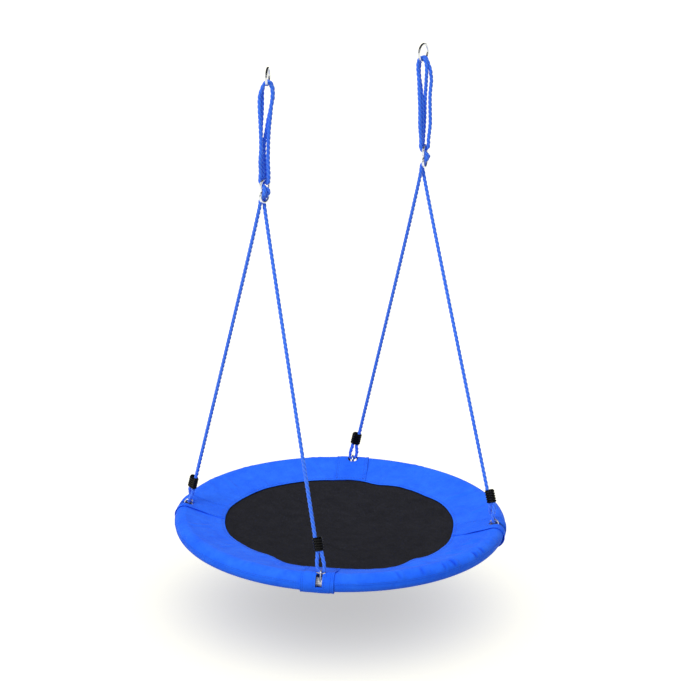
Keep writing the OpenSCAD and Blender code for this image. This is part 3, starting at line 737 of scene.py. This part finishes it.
def slope_points(az, r0, z0, c, end_deg, n1, n2, sag):
    """Points and normals over the ring at one azimuth: straight up the slope, then round the rim, in [r, z]."""
    a = tan_deg(r0, z0, c)
    T = V(RIM_R + c * cd(a), c * sd(a))
    E = V(r0, z0)
    n = V(cd(a), sd(a))
    x = np.linspace(0, 1, n1)
    P = E[None] + (T - E)[None] * x[:, None] - n[None] * (sag * 4 * x * (1 - x))[:, None]
    Nn = np.repeat(n[None], n1, 0)
    b = np.linspace(a, end_deg, n2 + 1)[1:]
    Pa = np.stack([RIM_R + c * np.cos(np.radians(b)), c * np.sin(np.radians(b))], 1)
    Na = np.stack([np.cos(np.radians(b)), np.sin(np.radians(b))], 1)
    P, Nn = np.vstack([P, Pa]), np.vstack([Nn, Na])
    L = np.concatenate([[0], np.cumsum(np.linalg.norm(np.diff(P, axis=0), axis=1))])
    return P, Nn, L


def spin(P2, az):
    """[r, z] at an azimuth to a point in the row frame."""
    c, s = cd(az), sd(az)
    return np.stack([P2[:, 0] * c, P2[:, 0] * s, P2[:, 1] + RIM_Z], 1)


def fold_height(az, x):
    """Height of the folds at an azimuth, for places x along the slope."""
    h = np.zeros(len(x))
    for a, w, f, t, hh, sl in FOLDS:
        d = (az - a - sl * (x - 0.5) + 180) % 360 - 180
        along = smoothstep(x, f, f + 0.15) * (1 - smoothstep(x, t - 0.15, t))
        h += 2.4 * hh * along * (np.exp(-(d / w) ** 2) - 0.45 * np.exp(-((d - 1.6 * w) / w) ** 2) - 0.45 * np.exp(-((d + 1.6 * w) / w) ** 2))
    for a, w, f, t, hh, sl in PINCH:
        d = (az - a - sl * (x - 1.15) + 180) % 360 - 180
        if abs(az - a) % 360 > 12 and abs(az - a) % 360 < 348:
            continue
        along = smoothstep(x, f, f + 0.12) * (1 - smoothstep(x, t - 0.10, t))
        h += hh * along * (np.exp(-((d - 1.45 * w) / w) ** 2) + 0.75 * np.exp(-((d + 1.45 * w) / w) ** 2) - 0.25 * np.exp(-(d / (0.6 * w)) ** 2))
    return h


def crease_shade_weight(az, x):
    """How deep in a crease each place is, 0 to 1: the weight of the painted shade that darkens the cloth's colour
    there.
    """
    g = np.zeros(len(x))
    # painted shade down the middle of each pinched dent
    for a, w, f, t, hh, sl in PINCH:
        d = (az - a - sl * (x - 1.15) + 180) % 360 - 180
        along = smoothstep(x, f, f + 0.12) * (1 - smoothstep(x, t - 0.10, t))
        g = np.maximum(g, min(1.0, hh / 4.2) * along * np.exp(-(d / (0.80 * w)) ** 2))
    # fainter painted shade along one side of each fold
    for a, w, f, t, hh, sl in FOLDS:
        d = (az - a - sl * (x - 0.5) + 180) % 360 - 180
        along = smoothstep(x, f, f + 0.15) * (1 - smoothstep(x, t - 0.15, t))
        g = np.maximum(g, 0.22 * min(1.0, hh / 1.4) * along * np.exp(-((d - 1.6 * w) / w) ** 2))
    return g


N1, N2 = 26, 20
RING_OUT = 27.9
SEAM_DEG = 9.0
w_low = smooth_noise(NAZ, 9, 3)
w_mid = smooth_noise(NAZ, 34, 4)
w_fine = smooth_noise(NAZ, 95, 5)
w_hem = smooth_noise(NAZ, 60, 6)


def ring_surface(i, extra=0.0, end=SEAM_DEG, n2=N2):
    """The blue ring's upper face at one of the azimuths."""
    az = AZS[i % NAZ]
    r0 = ER[i % NAZ]
    P, Nn, L = slope_points(az, r0, EDGE_Z + 0.5 * w_hem[i % NAZ], RING_OUT + extra, end, N1, n2, 2.2 + 1.2 * w_low[i % NAZ])
    x = np.concatenate([np.linspace(0, 1, N1), 1 + 0.35 * np.arange(1, n2 + 1) / n2])
    h = fold_height(az, x)
    h += 0.8 * w_mid[i % NAZ] * np.sin(pi * np.clip(x, 0, 1)) + 0.20 * w_fine[i % NAZ] * np.sin(pi * np.clip(x, 0, 1))
    # a shallow valley along each seam
    for q in (5.0, 8.5, L[-1] - 3.2):
        h -= 0.75 * np.exp(-((L - q) / 1.5) ** 2)
    # gathered along the hem and the outer seam
    h += 0.45 * w_fine[i % NAZ] * np.exp(-L / 9.0) + 0.50 * w_fine[i % NAZ] * np.exp(-(L[-1] - L) / 9.0)
    return P + Nn * h[:, None], Nn, L


def ring_thickness(L):
    return 1.15 + 1.5 * (1 - smoothstep(L, 8.0, 11.0)) + 0.9 * smoothstep(L, L[-1] - 8.0, L[-1] - 6.0)


def closed_profile(P, Nn, th):
    """Upper face, then the lower face back, with rounded ends, all in [r, z]."""
    low = P - Nn * th[:, None]
    t0, t1 = unit(P[0] - P[1]), unit(P[-1] - P[-2])
    e0 = [P[0] + t0 * th[0] * 0.38 - Nn[0] * th[0] * 0.25, P[0] + t0 * th[0] * 0.5 - Nn[0] * th[0] * 0.5, low[0] + t0 * th[0] * 0.38 + Nn[0] * th[0] * 0.25]
    e1 = [P[-1] + t1 * th[-1] * 0.38 - Nn[-1] * th[-1] * 0.25, P[-1] + t1 * th[-1] * 0.5 - Nn[-1] * th[-1] * 0.5, low[-1] + t1 * th[-1] * 0.38 + Nn[-1] * th[-1] * 0.25]
    return np.vstack([P, e1, low[::-1], e0[::-1]])


def seat_ring():
    rows, vs = [], None
    for i in range(NAZ):
        P, Nn, L = ring_surface(i)
        th = ring_thickness(L)
        C = closed_profile(P, Nn, th)
        rows.append(spin(C, AZS[i]))
        if vs is None:
            Lc = np.concatenate([[0], np.cumsum(np.linalg.norm(np.diff(np.vstack([C, C[:1]]), axis=0), axis=1))])
            vs = Lc * MM
    me = Mesh()
    me.grid(np.array(rows), ci=True, cj=True, U=np.linspace(0, 2 * pi * 0.42, NAZ + 1), W=vs, flip=False)
    o = me.build("seat_ring_cloth_sewn")
    # painted shade in the creases, stored on the ring's points for its cloth material
    x = np.concatenate([np.linspace(0, 1, N1), 1 + 0.35 * np.arange(1, N2 + 1) / N2])
    g = np.zeros((NAZ, len(rows[0])))
    for i in range(NAZ):
        g[i, :len(x)] = crease_shade_weight(AZS[i], x)
    if len(o.data.vertices) == g.size:
        crease_shade_attr = o.data.attributes.new("painted_crease_shade", "FLOAT", "POINT")
        crease_shade_attr.data.foreach_set("value", g.ravel())
    return paint(o, M_BLUE)


def rim_cover():
    """The cover under the ring cloth: all round the foam, closed by a lapped seam underneath."""
    m = 76
    rows = []
    for i in range(NAZ):
        az = AZS[i]
        a = np.linspace(-148, 206, m)
        c = 26.35 + 0.15 * w_mid[i] * np.sin(np.radians(a * 2)) + 0.16 * w_fine[i] * np.exp(-((a + 120) / 26.0) ** 2) \
            + 0.22 * smooth_ripple[i] * np.exp(-((a + 20) / 40.0) ** 2)
        c = c + 0.9 * smoothstep(a, 196, 203)
        Nn = np.stack([np.cos(np.radians(a)), np.sin(np.radians(a))], 1)
        P = np.stack([RIM_R + c * np.cos(np.radians(a)), c * np.sin(np.radians(a))], 1)
        C = closed_profile(P, Nn, np.full(m, 1.1))
        rows.append(spin(C, az))
    me = Mesh()
    per = 2 * pi * 26.75 * 354 / 360 * MM
    k = rows[0].shape[0]
    me.grid(np.array(rows), ci=True, cj=True, U=np.linspace(0, 2 * pi * 0.473, NAZ + 1), W=np.linspace(0, 2 * per, k + 1), flip=True)
    o = me.build("rim_cover_sewn")
    return paint(o, M_BLUE)


smooth_ripple = smooth_noise(NAZ, 40, 11)


# ---------------------------------------------------------------- openings over the eyes
def cutter(k):
    me = Mesh()
    o = tube_pt(k)
    c, s = cd(AZ[k]), sd(AZ[k])
    rad, tg, up = V(c, s, 0), V(-s, c, 0), V(0, 0, 1)
    # slot: a wedge from 12 degrees below level to 78 above, 17 mm wide
    a0, a1, R = radians(-12), radians(80), 52
    pts = [V(4, 0), *[V(R * cos(a), R * sin(a)) for a in np.linspace(a0, a1, 12)]]
    o = o + tg * SLOT_OFF[k]
    lo = [o + rad * p[0] + up * p[1] - tg * SLOT_W for p in pts]
    hi = [o + rad * p[0] + up * p[1] + tg * SLOT_W for p in pts]
    o = tube_pt(k)
    q0, q1 = me.points(lo), me.points(hi)
    n = len(pts)
    me.face([q0 + i for i in range(n)])
    me.face([q1 + i for i in range(n)][::-1])
    for i in range(n):
        j = (i + 1) % n
        me.face((q0 + i, q1 + i, q1 + j, q0 + j))
    a = me.build("cut_slot_%d" % k, smooth=False)
    me = Mesh()
    d = eye_dir(k)
    x, y = tg, np.cross(d, tg)
    R0 = [o + d * 15 + x * 16 * cos(t) + y * 16 * sin(t) for t in np.linspace(0, 2 * pi, 48, endpoint=False)]
    R1 = [o + d * 56 + x * 16 * cos(t) + y * 16 * sin(t) for t in np.linspace(0, 2 * pi, 48, endpoint=False)]
    q0, q1 = me.points(R0), me.points(R1)
    me.face([q0 + i for i in range(48)][::-1])
    me.face([q1 + i for i in range(48)])
    for i in range(48):
        j = (i + 1) % 48
        me.face((q0 + i, q0 + j, q1 + j, q1 + i))
    b = me.build("cut_hole_%d" % k, smooth=False)
    for ob in (a, b):
        bm_fix(ob)
    return a, b


def bm_fix(o):
    import bmesh
    bm = bmesh.new()
    bm.from_mesh(o.data)
    bmesh.ops.recalc_face_normals(bm, faces=bm.faces)
    bm.to_mesh(o.data)
    bm.free()


def cut(o, cutters):
    for c in cutters:
        m = o.modifiers.new("cut", "BOOLEAN")
        m.operation, m.solver, m.object = "DIFFERENCE", "EXACT", c
    bpy.context.view_layer.update()
    bake_modifiers(o)
    return o


CUTS = [cutter(k) for k in range(4)]


# ---------------------------------------------------------------- flaps
FREE = (1, 1, -1, -1)                       # the side of each flap that is left free, along its azimuth
FLAP_OUT, FLAP_T, FLAP_END = 30.1, 1.6, -106
NV, NU2 = 101, 44
HALF = FLAP_W / 2


FLAP_AZ = [AZ[k] + degrees(FLAP_OFF[k] / RIM_R) for k in range(4)]


def flap_taper(k, v, x):
    """Half-widths change a little along a flap: the right one's free edge draws in as it goes over the rim."""
    if k == 2 and v < 0:
        return v * (1.07 - 0.24 * smoothstep(x, 40, 175))
    return v * (1.0 - 0.03 * smoothstep(x, 150, 225))


def flap_surface(k, v):
    """Upper face of a flap at a distance v off its middle, from the hem to its end under the rim."""
    az0 = FLAP_AZ[k]
    i0 = (az0 + degrees(v / 400.0)) % 360
    r0 = float(np.interp(i0, np.append(AZS, 360), np.append(ER, ER[0]))) + 0.6
    end = FLAP_END + 2.0 * sin(v / 17.0)
    P, Nn, L = slope_points(i0, r0, EDGE_Z + 1.6, FLAP_OUT, end, 24, NU2, 2.4)
    x = L / L[-1]
    f = v / HALF * FREE[k]
    edge = smoothstep(f, 0.80, 1.0)
    r = rng(40 + k)
    ph = r.random(4) * 6.28
    h = edge * (2.3 + 0.9 * np.sin(L / 23.0 + ph[0])) * smoothstep(L, 28, 78) * (1 - (0.2, 0.8, 0.0, 0.4)[k] * smoothstep(L, L[-1] - 80, L[-1] - 35))
    h += 0.22 * np.sin(L / 11.0 + ph[1]) * (abs(f) ** 3) + 0.18 * np.sin(v / 9.0 + L / 31.0 + ph[2])
    # the end under the rim hangs off it
    h += smoothstep(L, L[-1] - 42, L[-1] - 4) * (1.8 + 0.4 * edge + 0.4 * sin(v / 12.0 + ph[3]))
    for q in (HALF - 4.5, HALF - 9.5):
        h -= 0.85 * exp(-((abs(v) - q) / 1.4) ** 2)
    # drawn in round the eye
    eye = L[-1] - (radians(103.5 - end) * FLAP_OUT)
    h += -0.7 * np.exp(-(((v + FLAP_OFF[k]) / 20.0) ** 2 + ((L - eye) / 22.0) ** 2))
    return P + Nn * h[:, None], Nn, L, r0


def flap_mesh(k):
    me = Mesh()
    rows, U = [], []
    vs = np.linspace(-HALF, HALF, NV)
    for v in vs:
        P, Nn, L, r0 = flap_surface(k, v)
        th = np.full(len(L), FLAP_T) + 0.7 * smoothstep(L, L[-1] - 12, L[-1] - 9)
        C = closed_profile(P, Nn, th)
        # constant width: the azimuth narrows as the radius grows
        pts = []
        along = np.concatenate([L, [L[-1]] * 3, L[::-1], [L[0]] * 3])
        for p, x in zip(C, along):
            a = radians(FLAP_AZ[k]) + flap_taper(k, v, x) / max(p[0], 300.0)
            pts.append((p[0] * cos(a), p[0] * sin(a), p[1] + RIM_Z))
        rows.append(pts)
    R = np.array(rows)
    m = R.shape[1]
    Lc = np.concatenate([[0], np.cumsum(np.linalg.norm(np.diff(np.vstack([R[0], R[0][:1]]), axis=0), axis=1))]) * MM
    o0 = me.grid(R, cj=True, U=(vs + HALF) * MM, W=Lc)
    # side edges, closed with quads between the two faces
    half = len(flap_surface(k, 0)[2])
    for row, flip in ((0, False), (NV - 1, True)):
        b = o0 + row * m
        top = list(range(half))
        low = [half + 3 + (half - 1 - i) for i in range(half)]
        for i in range(half - 1):
            f = (b + top[i], b + top[i + 1], b + low[i + 1], b + low[i])
            me.face(f if not flip else f[::-1])
        f = (b + top[-1], b + half, b + half + 1, b + half + 2, b + low[-1])
        me.face(f if not flip else f[::-1])
        f = (b + low[0], b + m - 3, b + m - 2, b + m - 1, b + top[0])
        me.face(f if not flip else f[::-1])
    o = me.build("flap_%s_sewn" % SIDES[k])
    bm_fix(o)
    return paint(o, M_FLAP)


# ---------------------------------------------------------------- stitches
def stitch_row(me, P, Nn, pitch=4.8, length=3.5, r=0.55, sink=0.12, seed=0):
    """Small thread grains laid along a line of points on the cloth."""
    P, Nn = np.asarray(P, float), np.asarray(Nn, float)
    L = np.concatenate([[0], np.cumsum(np.linalg.norm(np.diff(P, axis=0), axis=1))])
    n = int(L[-1] // pitch)
    rr = rng(seed)
    for i in range(n):
        a = (i + 0.5) * pitch + rr.normal() * 0.12
        p = V(*[np.interp(a, L, P[:, c]) for c in range(3)])
        q = V(*[np.interp(a + 0.5, L, P[:, c]) for c in range(3)])
        t = unit(q - p) if np.linalg.norm(q - p) > 1e-6 else V(1, 0, 0)
        nn = V(*[np.interp(a, L, Nn[:, c]) for c in range(3)])
        nn = unit(nn - t * nn.dot(t))
        b = np.cross(t, nn)
        hl = length / 2 * (1 + 0.06 * rr.normal())
        rows = []
        for x, k, dz in ((-1, 0.30, -0.30), (-0.6, 0.85, 0.02), (0, 1, 0.16), (0.6, 0.85, 0.02), (1, 0.30, -0.30)):
            rows.append([p + t * x * hl + nn * (dz - sink + r * k * sin(w)) + b * (r * k * cos(w)) for w in np.arange(6) * pi / 3])
        o0 = me.grid(np.array(rows), cj=True, U=np.linspace(0, length * MM, 5), W=np.linspace(0, 0.002, 7))
        me.face([o0 + j for j in range(6)][::-1])
        me.face([o0 + 24 + j for j in range(6)])


def inside_cut(p, k, grow=2.5):
    """True near an opening, where no stitch goes."""
    q = p - tube_pt(k)
    c, s = cd(AZ[k]), sd(AZ[k])
    x, y, z = q[0] * c + q[1] * s, -q[0] * s + q[1] * c, q[2]
    if abs(y - SLOT_OFF[k]) < SLOT_W + grow and x > 0 and -14 < degrees(atan2(z, x)) < 82:
        return True
    d = eye_dir(k)
    w = q - d * q.dot(d)
    return q.dot(d) > 10 and np.linalg.norm(w) < 16 + grow


def rows_between(P, Nn, bad):
    """Splits a line where bad(point) is true."""
    out, cur = [], []
    for p, n in zip(P, Nn):
        if bad(p):
            if len(cur) > 3:
                out.append(cur)
            cur = []
        else:
            cur.append((p, n))
    if len(cur) > 3:
        out.append(cur)
    return out


def flap_point(k, v, frac_mm):
    """A point and normal on a flap's upper face, frac_mm along it from the hem."""
    P, Nn, L, r0 = flap_surface(k, v)
    r = np.interp(frac_mm, L, P[:, 0])
    z = np.interp(frac_mm, L, P[:, 1])
    nr, nz = np.interp(frac_mm, L, Nn[:, 0]), np.interp(frac_mm, L, Nn[:, 1])
    a = radians(FLAP_AZ[k]) + flap_taper(k, v, frac_mm) / r
    return V(r * cos(a), r * sin(a), z + RIM_Z), V(nr * cos(a), nr * sin(a), nz)


def flap_stitches(k):
    me = Mesh()
    L = flap_surface(k, 0)[2][-1]
    for j, v in enumerate((-HALF + 4.5, -HALF + 9.5, HALF - 4.5, HALF - 9.5)):
        pts = [flap_point(k, v, x) for x in np.arange(5, L - 5, 3.0)]
        stitch_row(me, [p for p, _ in pts], [n for _, n in pts], seed=100 + 10 * k + j)
    for j, x in enumerate((4.5, 9.0, L - 4.5)):
        pts = [flap_point(k, v, x) for v in np.linspace(-HALF + 4.5, HALF - 4.5, 40)]
        stitch_row(me, [p for p, _ in pts], [n for _, n in pts], seed=200 + 10 * k + j)
    # round the opening over the eye
    eye = L - radians(103.5 - FLAP_END) * FLAP_OUT
    m = SLOT_OFF[k] - FLAP_OFF[k]
    for j, (w, x0, x1) in enumerate(((-SLOT_W - 6, eye - 20, eye + 68), (SLOT_W + 6, eye - 20, eye + 68))):
        pts = [flap_point(k, m + w * (1 if abs(x - eye) > 26 else 1.35), x) for x in np.arange(x0, x1, 3.0)]
        stitch_row(me, [p for p, _ in pts], [n for _, n in pts], seed=250 + 10 * k + j)
    pts = [flap_point(k, m + w, eye + 68) for w in np.linspace(-SLOT_W - 6, SLOT_W + 6, 12)]
    stitch_row(me, [p for p, _ in pts], [n for _, n in pts], seed=253 + 10 * k)
    o = me.build("flap_%s_stitching" % SIDES[k])
    return paint(o, M_THREAD)


def ring_stitches():
    me = Mesh()
    for j, inset in enumerate((5.0, 8.5)):
        P, N3 = [], []
        for i in range(NAZ + 1):
            p, nn, L = ring_surface(i)
            q = V(np.interp(inset, L, p[:, 0]), np.interp(inset, L, p[:, 1]))
            m = V(np.interp(inset, L, nn[:, 0]), np.interp(inset, L, nn[:, 1]))
            az = AZS[i % NAZ]
            P.append(spin(q[None], az)[0])
            N3.append(V(m[0] * cd(az), m[0] * sd(az), m[1]))
        stitch_row(me, P, N3, seed=300 + j)
    P, N3 = [], []
    for i in range(NAZ + 1):
        p, nn, L = ring_surface(i)
        x = L[-1] - 3.2
        q = V(np.interp(x, L, p[:, 0]), np.interp(x, L, p[:, 1]))
        m = V(np.interp(x, L, nn[:, 0]), np.interp(x, L, nn[:, 1]))
        az = AZS[i % NAZ]
        P.append(spin(q[None], az)[0])
        N3.append(V(m[0] * cd(az), m[0] * sd(az), m[1]))
    def near(p):
        a = degrees(atan2(p[1], p[0]))
        return any(abs((a - z + 180) % 360 - 180) < 6.2 for z in FLAP_AZ)
    for part in rows_between(P, N3, near):
        stitch_row(me, [q for q, _ in part], [n for _, n in part], seed=310)
    o = me.build("seat_ring_stitching")
    return paint(o, M_THREAD)


def under_stitches():
    """The seam that closes the cover underneath, in two rows."""
    me = Mesh()
    for a, c, seed in ((-151.5, 27.75, 320), (-156.0, 27.75, 321)):
        P = [V((RIM_R + c * cd(a)) * cd(z), (RIM_R + c * cd(a)) * sd(z), c * sd(a) + RIM_Z) for z in np.append(AZS, 360)]
        N3 = [V(cd(a) * cd(z), cd(a) * sd(z), sd(a)) for z in np.append(AZS, 360)]
        stitch_row(me, P, N3, seed=seed, pitch=5.2)
    o = me.build("rim_cover_stitching")
    return paint(o, M_THREAD)


# ---------------------------------------------------------------- panel
def panel():
    """Dished dark cloth, tucked under the ring's hem."""
    nr = 64
    rows = []
    wob = [smooth_noise(NAZ, s, 60 + s) for s in (3, 7, 16)]
    for i in range(0, NAZ, 2):
        az = AZS[i]
        R = ER[i] + 9
        x = np.linspace(0.004, 1, nr)
        r = R * x
        z = EDGE_Z - 3.2 - 26.5 * (1 - x ** 2)
        z = z + 0.8 * wob[0][i] * x ** 2 * (1 - x) * 4 + 0.5 * wob[1][i] * x ** 3 * (1 - x) * 4 + 0.25 * wob[2][i] * x ** 6 * (1 - x) * 8
        P = np.stack([r, z], 1)
        Nn = np.repeat(V(0, 1)[None], nr, 0)
        rows.append(spin(P, az))
    R = np.array(rows)
    low = R.copy()
    low[:, :, 2] -= 1.3
    me = Mesh()
    n = len(R)
    U = np.linspace(0, 2 * pi * 0.3, n + 1)
    o0 = me.grid(R, ci=True, U=U, W=np.linspace(0, 0.36, nr), flip=False)
    o1 = me.grid(low, ci=True, U=U, W=np.linspace(0, 0.36, nr), flip=True)
    for i in range(n):
        j = (i + 1) % n
        me.face((o0 + i * nr + nr - 1, o1 + i * nr + nr - 1, o1 + j * nr + nr - 1, o0 + j * nr + nr - 1))
    me.face([o0 + i * nr for i in range(n)])
    me.face([o1 + i * nr for i in range(n)][::-1])
    # flat UV, in metres, so that the weave runs straight across
    allv = np.concatenate(me.v)
    me.uv = [[(allv[q][0] * MM, allv[q][1] * MM) for q in f] for f in me.f]
    o = me.build("centre_panel_woven")
    bm_fix(o)
    return paint(o, M_PANEL)


# ---------------------------------------------------------------- foam, tapes
def foam(k):
    me = Mesh()
    d = lambda l: degrees(l / RIM_R)
    a0, a1 = AZ[k] + d(12), (AZ[(k + 1) % 4] - AZ[k]) % 360 + AZ[k] - d(12)
    n, m = 90, 40
    rr = smooth_noise(n, 20, 80 + k)
    rows = []
    prof = [(0, 14.3), (0, 17), (0, 21), (0.15, 23.4), (0.5, 24.6), (1.0, 25.3)]
    st = [(a0 + d(x * 2), c) for x, c in prof] + [(a0 + (a1 - a0) * i / n, 25.35 + 0.06 * rr[i % n]) for i in range(2, n - 1)] \
        + [(a1 - d(x * 2), c) for x, c in prof[::-1]]
    st += [(a1, 14.2), (a0 + 0.66 * (a1 - a0), 14.2), (a0 + 0.33 * (a1 - a0), 14.2)]
    st = st[:-3]
    for a, c in st:
        rows.append([V((RIM_R + c * cos(w)) * cd(a), (RIM_R + c * cos(w)) * sd(a), c * sin(w) + RIM_Z) for w in np.linspace(0, 2 * pi, m, endpoint=False)])
    for i in range(30, -1, -1):
        a = a0 + (a1 - a0) * i / 30
        rows.append([V((RIM_R + 14.2 * cos(w)) * cd(a), (RIM_R + 14.2 * cos(w)) * sd(a), 14.2 * sin(w) + RIM_Z) for w in np.linspace(0, 2 * pi, m, endpoint=False)])
    me.grid(np.array(rows), ci=True, cj=True)
    o = me.build("foam_sleeve_%s_soft" % SIDES[k])
    bm_fix(o)
    return paint(o, M_FOAM)


def tape(k, c, name, mat, bumps):
    me = Mesh()
    rows = []
    vs = np.linspace(-HALF + 8, HALF - 8, 30)
    r = rng(90 + k)
    for v in vs:
        a = radians(FLAP_AZ[k]) + v / RIM_R
        b = np.linspace(-58, -99, 18)
        cc = c + bumps * r.normal(size=len(b))
        Nn = np.stack([np.cos(np.radians(b)), np.sin(np.radians(b))], 1)
        P = np.stack([RIM_R + cc * np.cos(np.radians(b)), cc * np.sin(np.radians(b))], 1)
        C = closed_profile(P, Nn, np.full(len(b), 0.7))
        rows.append([(p[0] * cos(a), p[0] * sin(a), p[1] + RIM_Z) for p in C])
    R = np.array(rows)
    m = R.shape[1]
    o0 = me.grid(R, cj=True, U=vs * MM, W=np.linspace(0, 0.09, m + 1))
    me.face([o0 + j for j in range(m)])
    me.face([o0 + (len(vs) - 1) * m + j for j in range(m)][::-1])
    o = me.build(name)
    bm_fix(o)
    return paint(o, mat)


# ---------------------------------------------------------------- put the seat together
ring = seat_ring()
cover = rim_cover()
bm_fix(ring)
bm_fix(cover)
all_cuts = [c for pair in CUTS for c in pair]
cut(ring, all_cuts)
cut(cover, all_cuts)
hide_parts("seat_ring_cloth")
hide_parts("rim_cover")
pan = panel()
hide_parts("centre_panel")
seat_pieces = [ring, cover, pan]
rs = ring_stitches()
us = under_stitches()
seat_pieces += [rs, us]
for k in range(4):
    f = flap_mesh(k)
    cut(f, CUTS[k])
    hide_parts("flap_" + SIDES[k])
    fs = flap_stitches(k)
    fo = foam(k)
    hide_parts("foam_sleeve_" + SIDES[k])
    hk = tape(k, 29.0, "hook_strip_" + SIDES[k], M_HOOK, 0.05)
    lp = tape(k, 28.0, "loop_strip_" + SIDES[k], M_LOOP, 0.03)
    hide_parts("hook_strips")
    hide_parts("loop_strips")
    seat_pieces += [f, fs, fo, hk, lp]
for pair in CUTS:
    for c in pair:
        bpy.data.objects.remove(c, do_unlink=True)
for o in seat_pieces:
    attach(o, "seat")

# ---------------------------------------------------------------- CAD metal keeps its shape and gets its finish
for n in ("hanging_ring_a", "hanging_ring_b"):
    paint(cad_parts[n], M_CHROME)
for n in ("adjuster_a", "adjuster_b"):
    paint(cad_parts[n], M_LINK)
for sd_ in SIDES:
    paint(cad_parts["anchor_eye_" + sd_], M_ZINC)
    paint(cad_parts["frame_tube_" + sd_], M_TUBE)
paint(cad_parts["frame_screws"], M_ZINC)

# ---------------------------------------------------------------- floor and light
FLOOR_Z = (RIM_Z - 271) * MM
me = Mesh()
me.points([(-60000, -60000, FLOOR_Z / MM), (60000, -60000, FLOOR_Z / MM), (60000, 60000, FLOOR_Z / MM), (-60000, 60000, FLOOR_Z / MM)])
me.face((0, 1, 2, 3))
floor = me.build("floor", smooth=False)
fm, fnt, fb = new_mat("floor_pale")
fb.inputs["Base Color"].default_value = (0.80, 0.78, 0.65, 1)
fb.inputs["Roughness"].default_value = 1.0
fb.inputs["Specular IOR Level"].default_value = 0.0
fb.inputs["Emission Color"].default_value = (1, 1, 1, 1)
fb.inputs["Emission Strength"].default_value = 0.455
paint(floor, fm)
floor.visible_diffuse = False
cm, cnt, cb = new_mat("card_dark")
cb.inputs["Base Color"].default_value = (0.01, 0.01, 0.01, 1)
cb.inputs["Roughness"].default_value = 1.0
cards = [[[(6500 * cos(t), 6500 * sin(t), z) for z in zs] for t in np.radians(np.linspace(a - w, a + w, 9))]
         for a, w, zs in ((49, 26, (-300, 3200)), (229, 20, (-300, 3000)), (139, 7, (-1800, 3000)), (319, 7, (-1800, 3000)))]
cards.append([[(r * cos(t), r * sin(t), 2600) for r in (10, 6200)] for t in np.radians(np.linspace(0, 360, 33))])
for i, g in enumerate(cards):
    me = Mesh()
    me.grid(g)
    card = paint(me.build("card_%d" % i, smooth=False), cm)
    card.visible_camera = card.visible_diffuse = card.visible_shadow = card.visible_transmission = False

world = bpy.data.worlds.new("studio")
bpy.context.scene.world = world
world.use_nodes = True
bg = world.node_tree.nodes["Background"]
bg.inputs["Color"].default_value = (1, 1, 1, 1)
bg.inputs["Strength"].default_value = 0.50
sun = bpy.data.lights.new("softbox", "SUN")
sun.energy = 1.45
sun.angle = radians(118)
so = bpy.data.objects.new("softbox", sun)
so.rotation_euler = (radians(2), radians(-2), 0)
bpy.context.scene.collection.objects.link(so)
# a lower, harder light from the front left that only the swing receives, to draw its folds
key = bpy.data.lights.new("window", "SUN")
key.energy = 1.50
key.angle = radians(24)
ko = bpy.data.objects.new("window", key)
ka_, ke_ = radians(192), radians(34)
ko.rotation_euler = (pi / 2 - ke_, 0, ka_ + pi / 2)
bpy.context.scene.collection.objects.link(ko)
dim = bpy.data.collections.new("not_lit_by_window")
dim.objects.link(floor)
dim.collection_objects[0].light_linking.link_state = "EXCLUDE"
ko.light_linking.receiver_collection = dim
bpy.context.scene.view_settings.view_transform = "Standard"
bpy.context.scene.view_settings.look = "None"
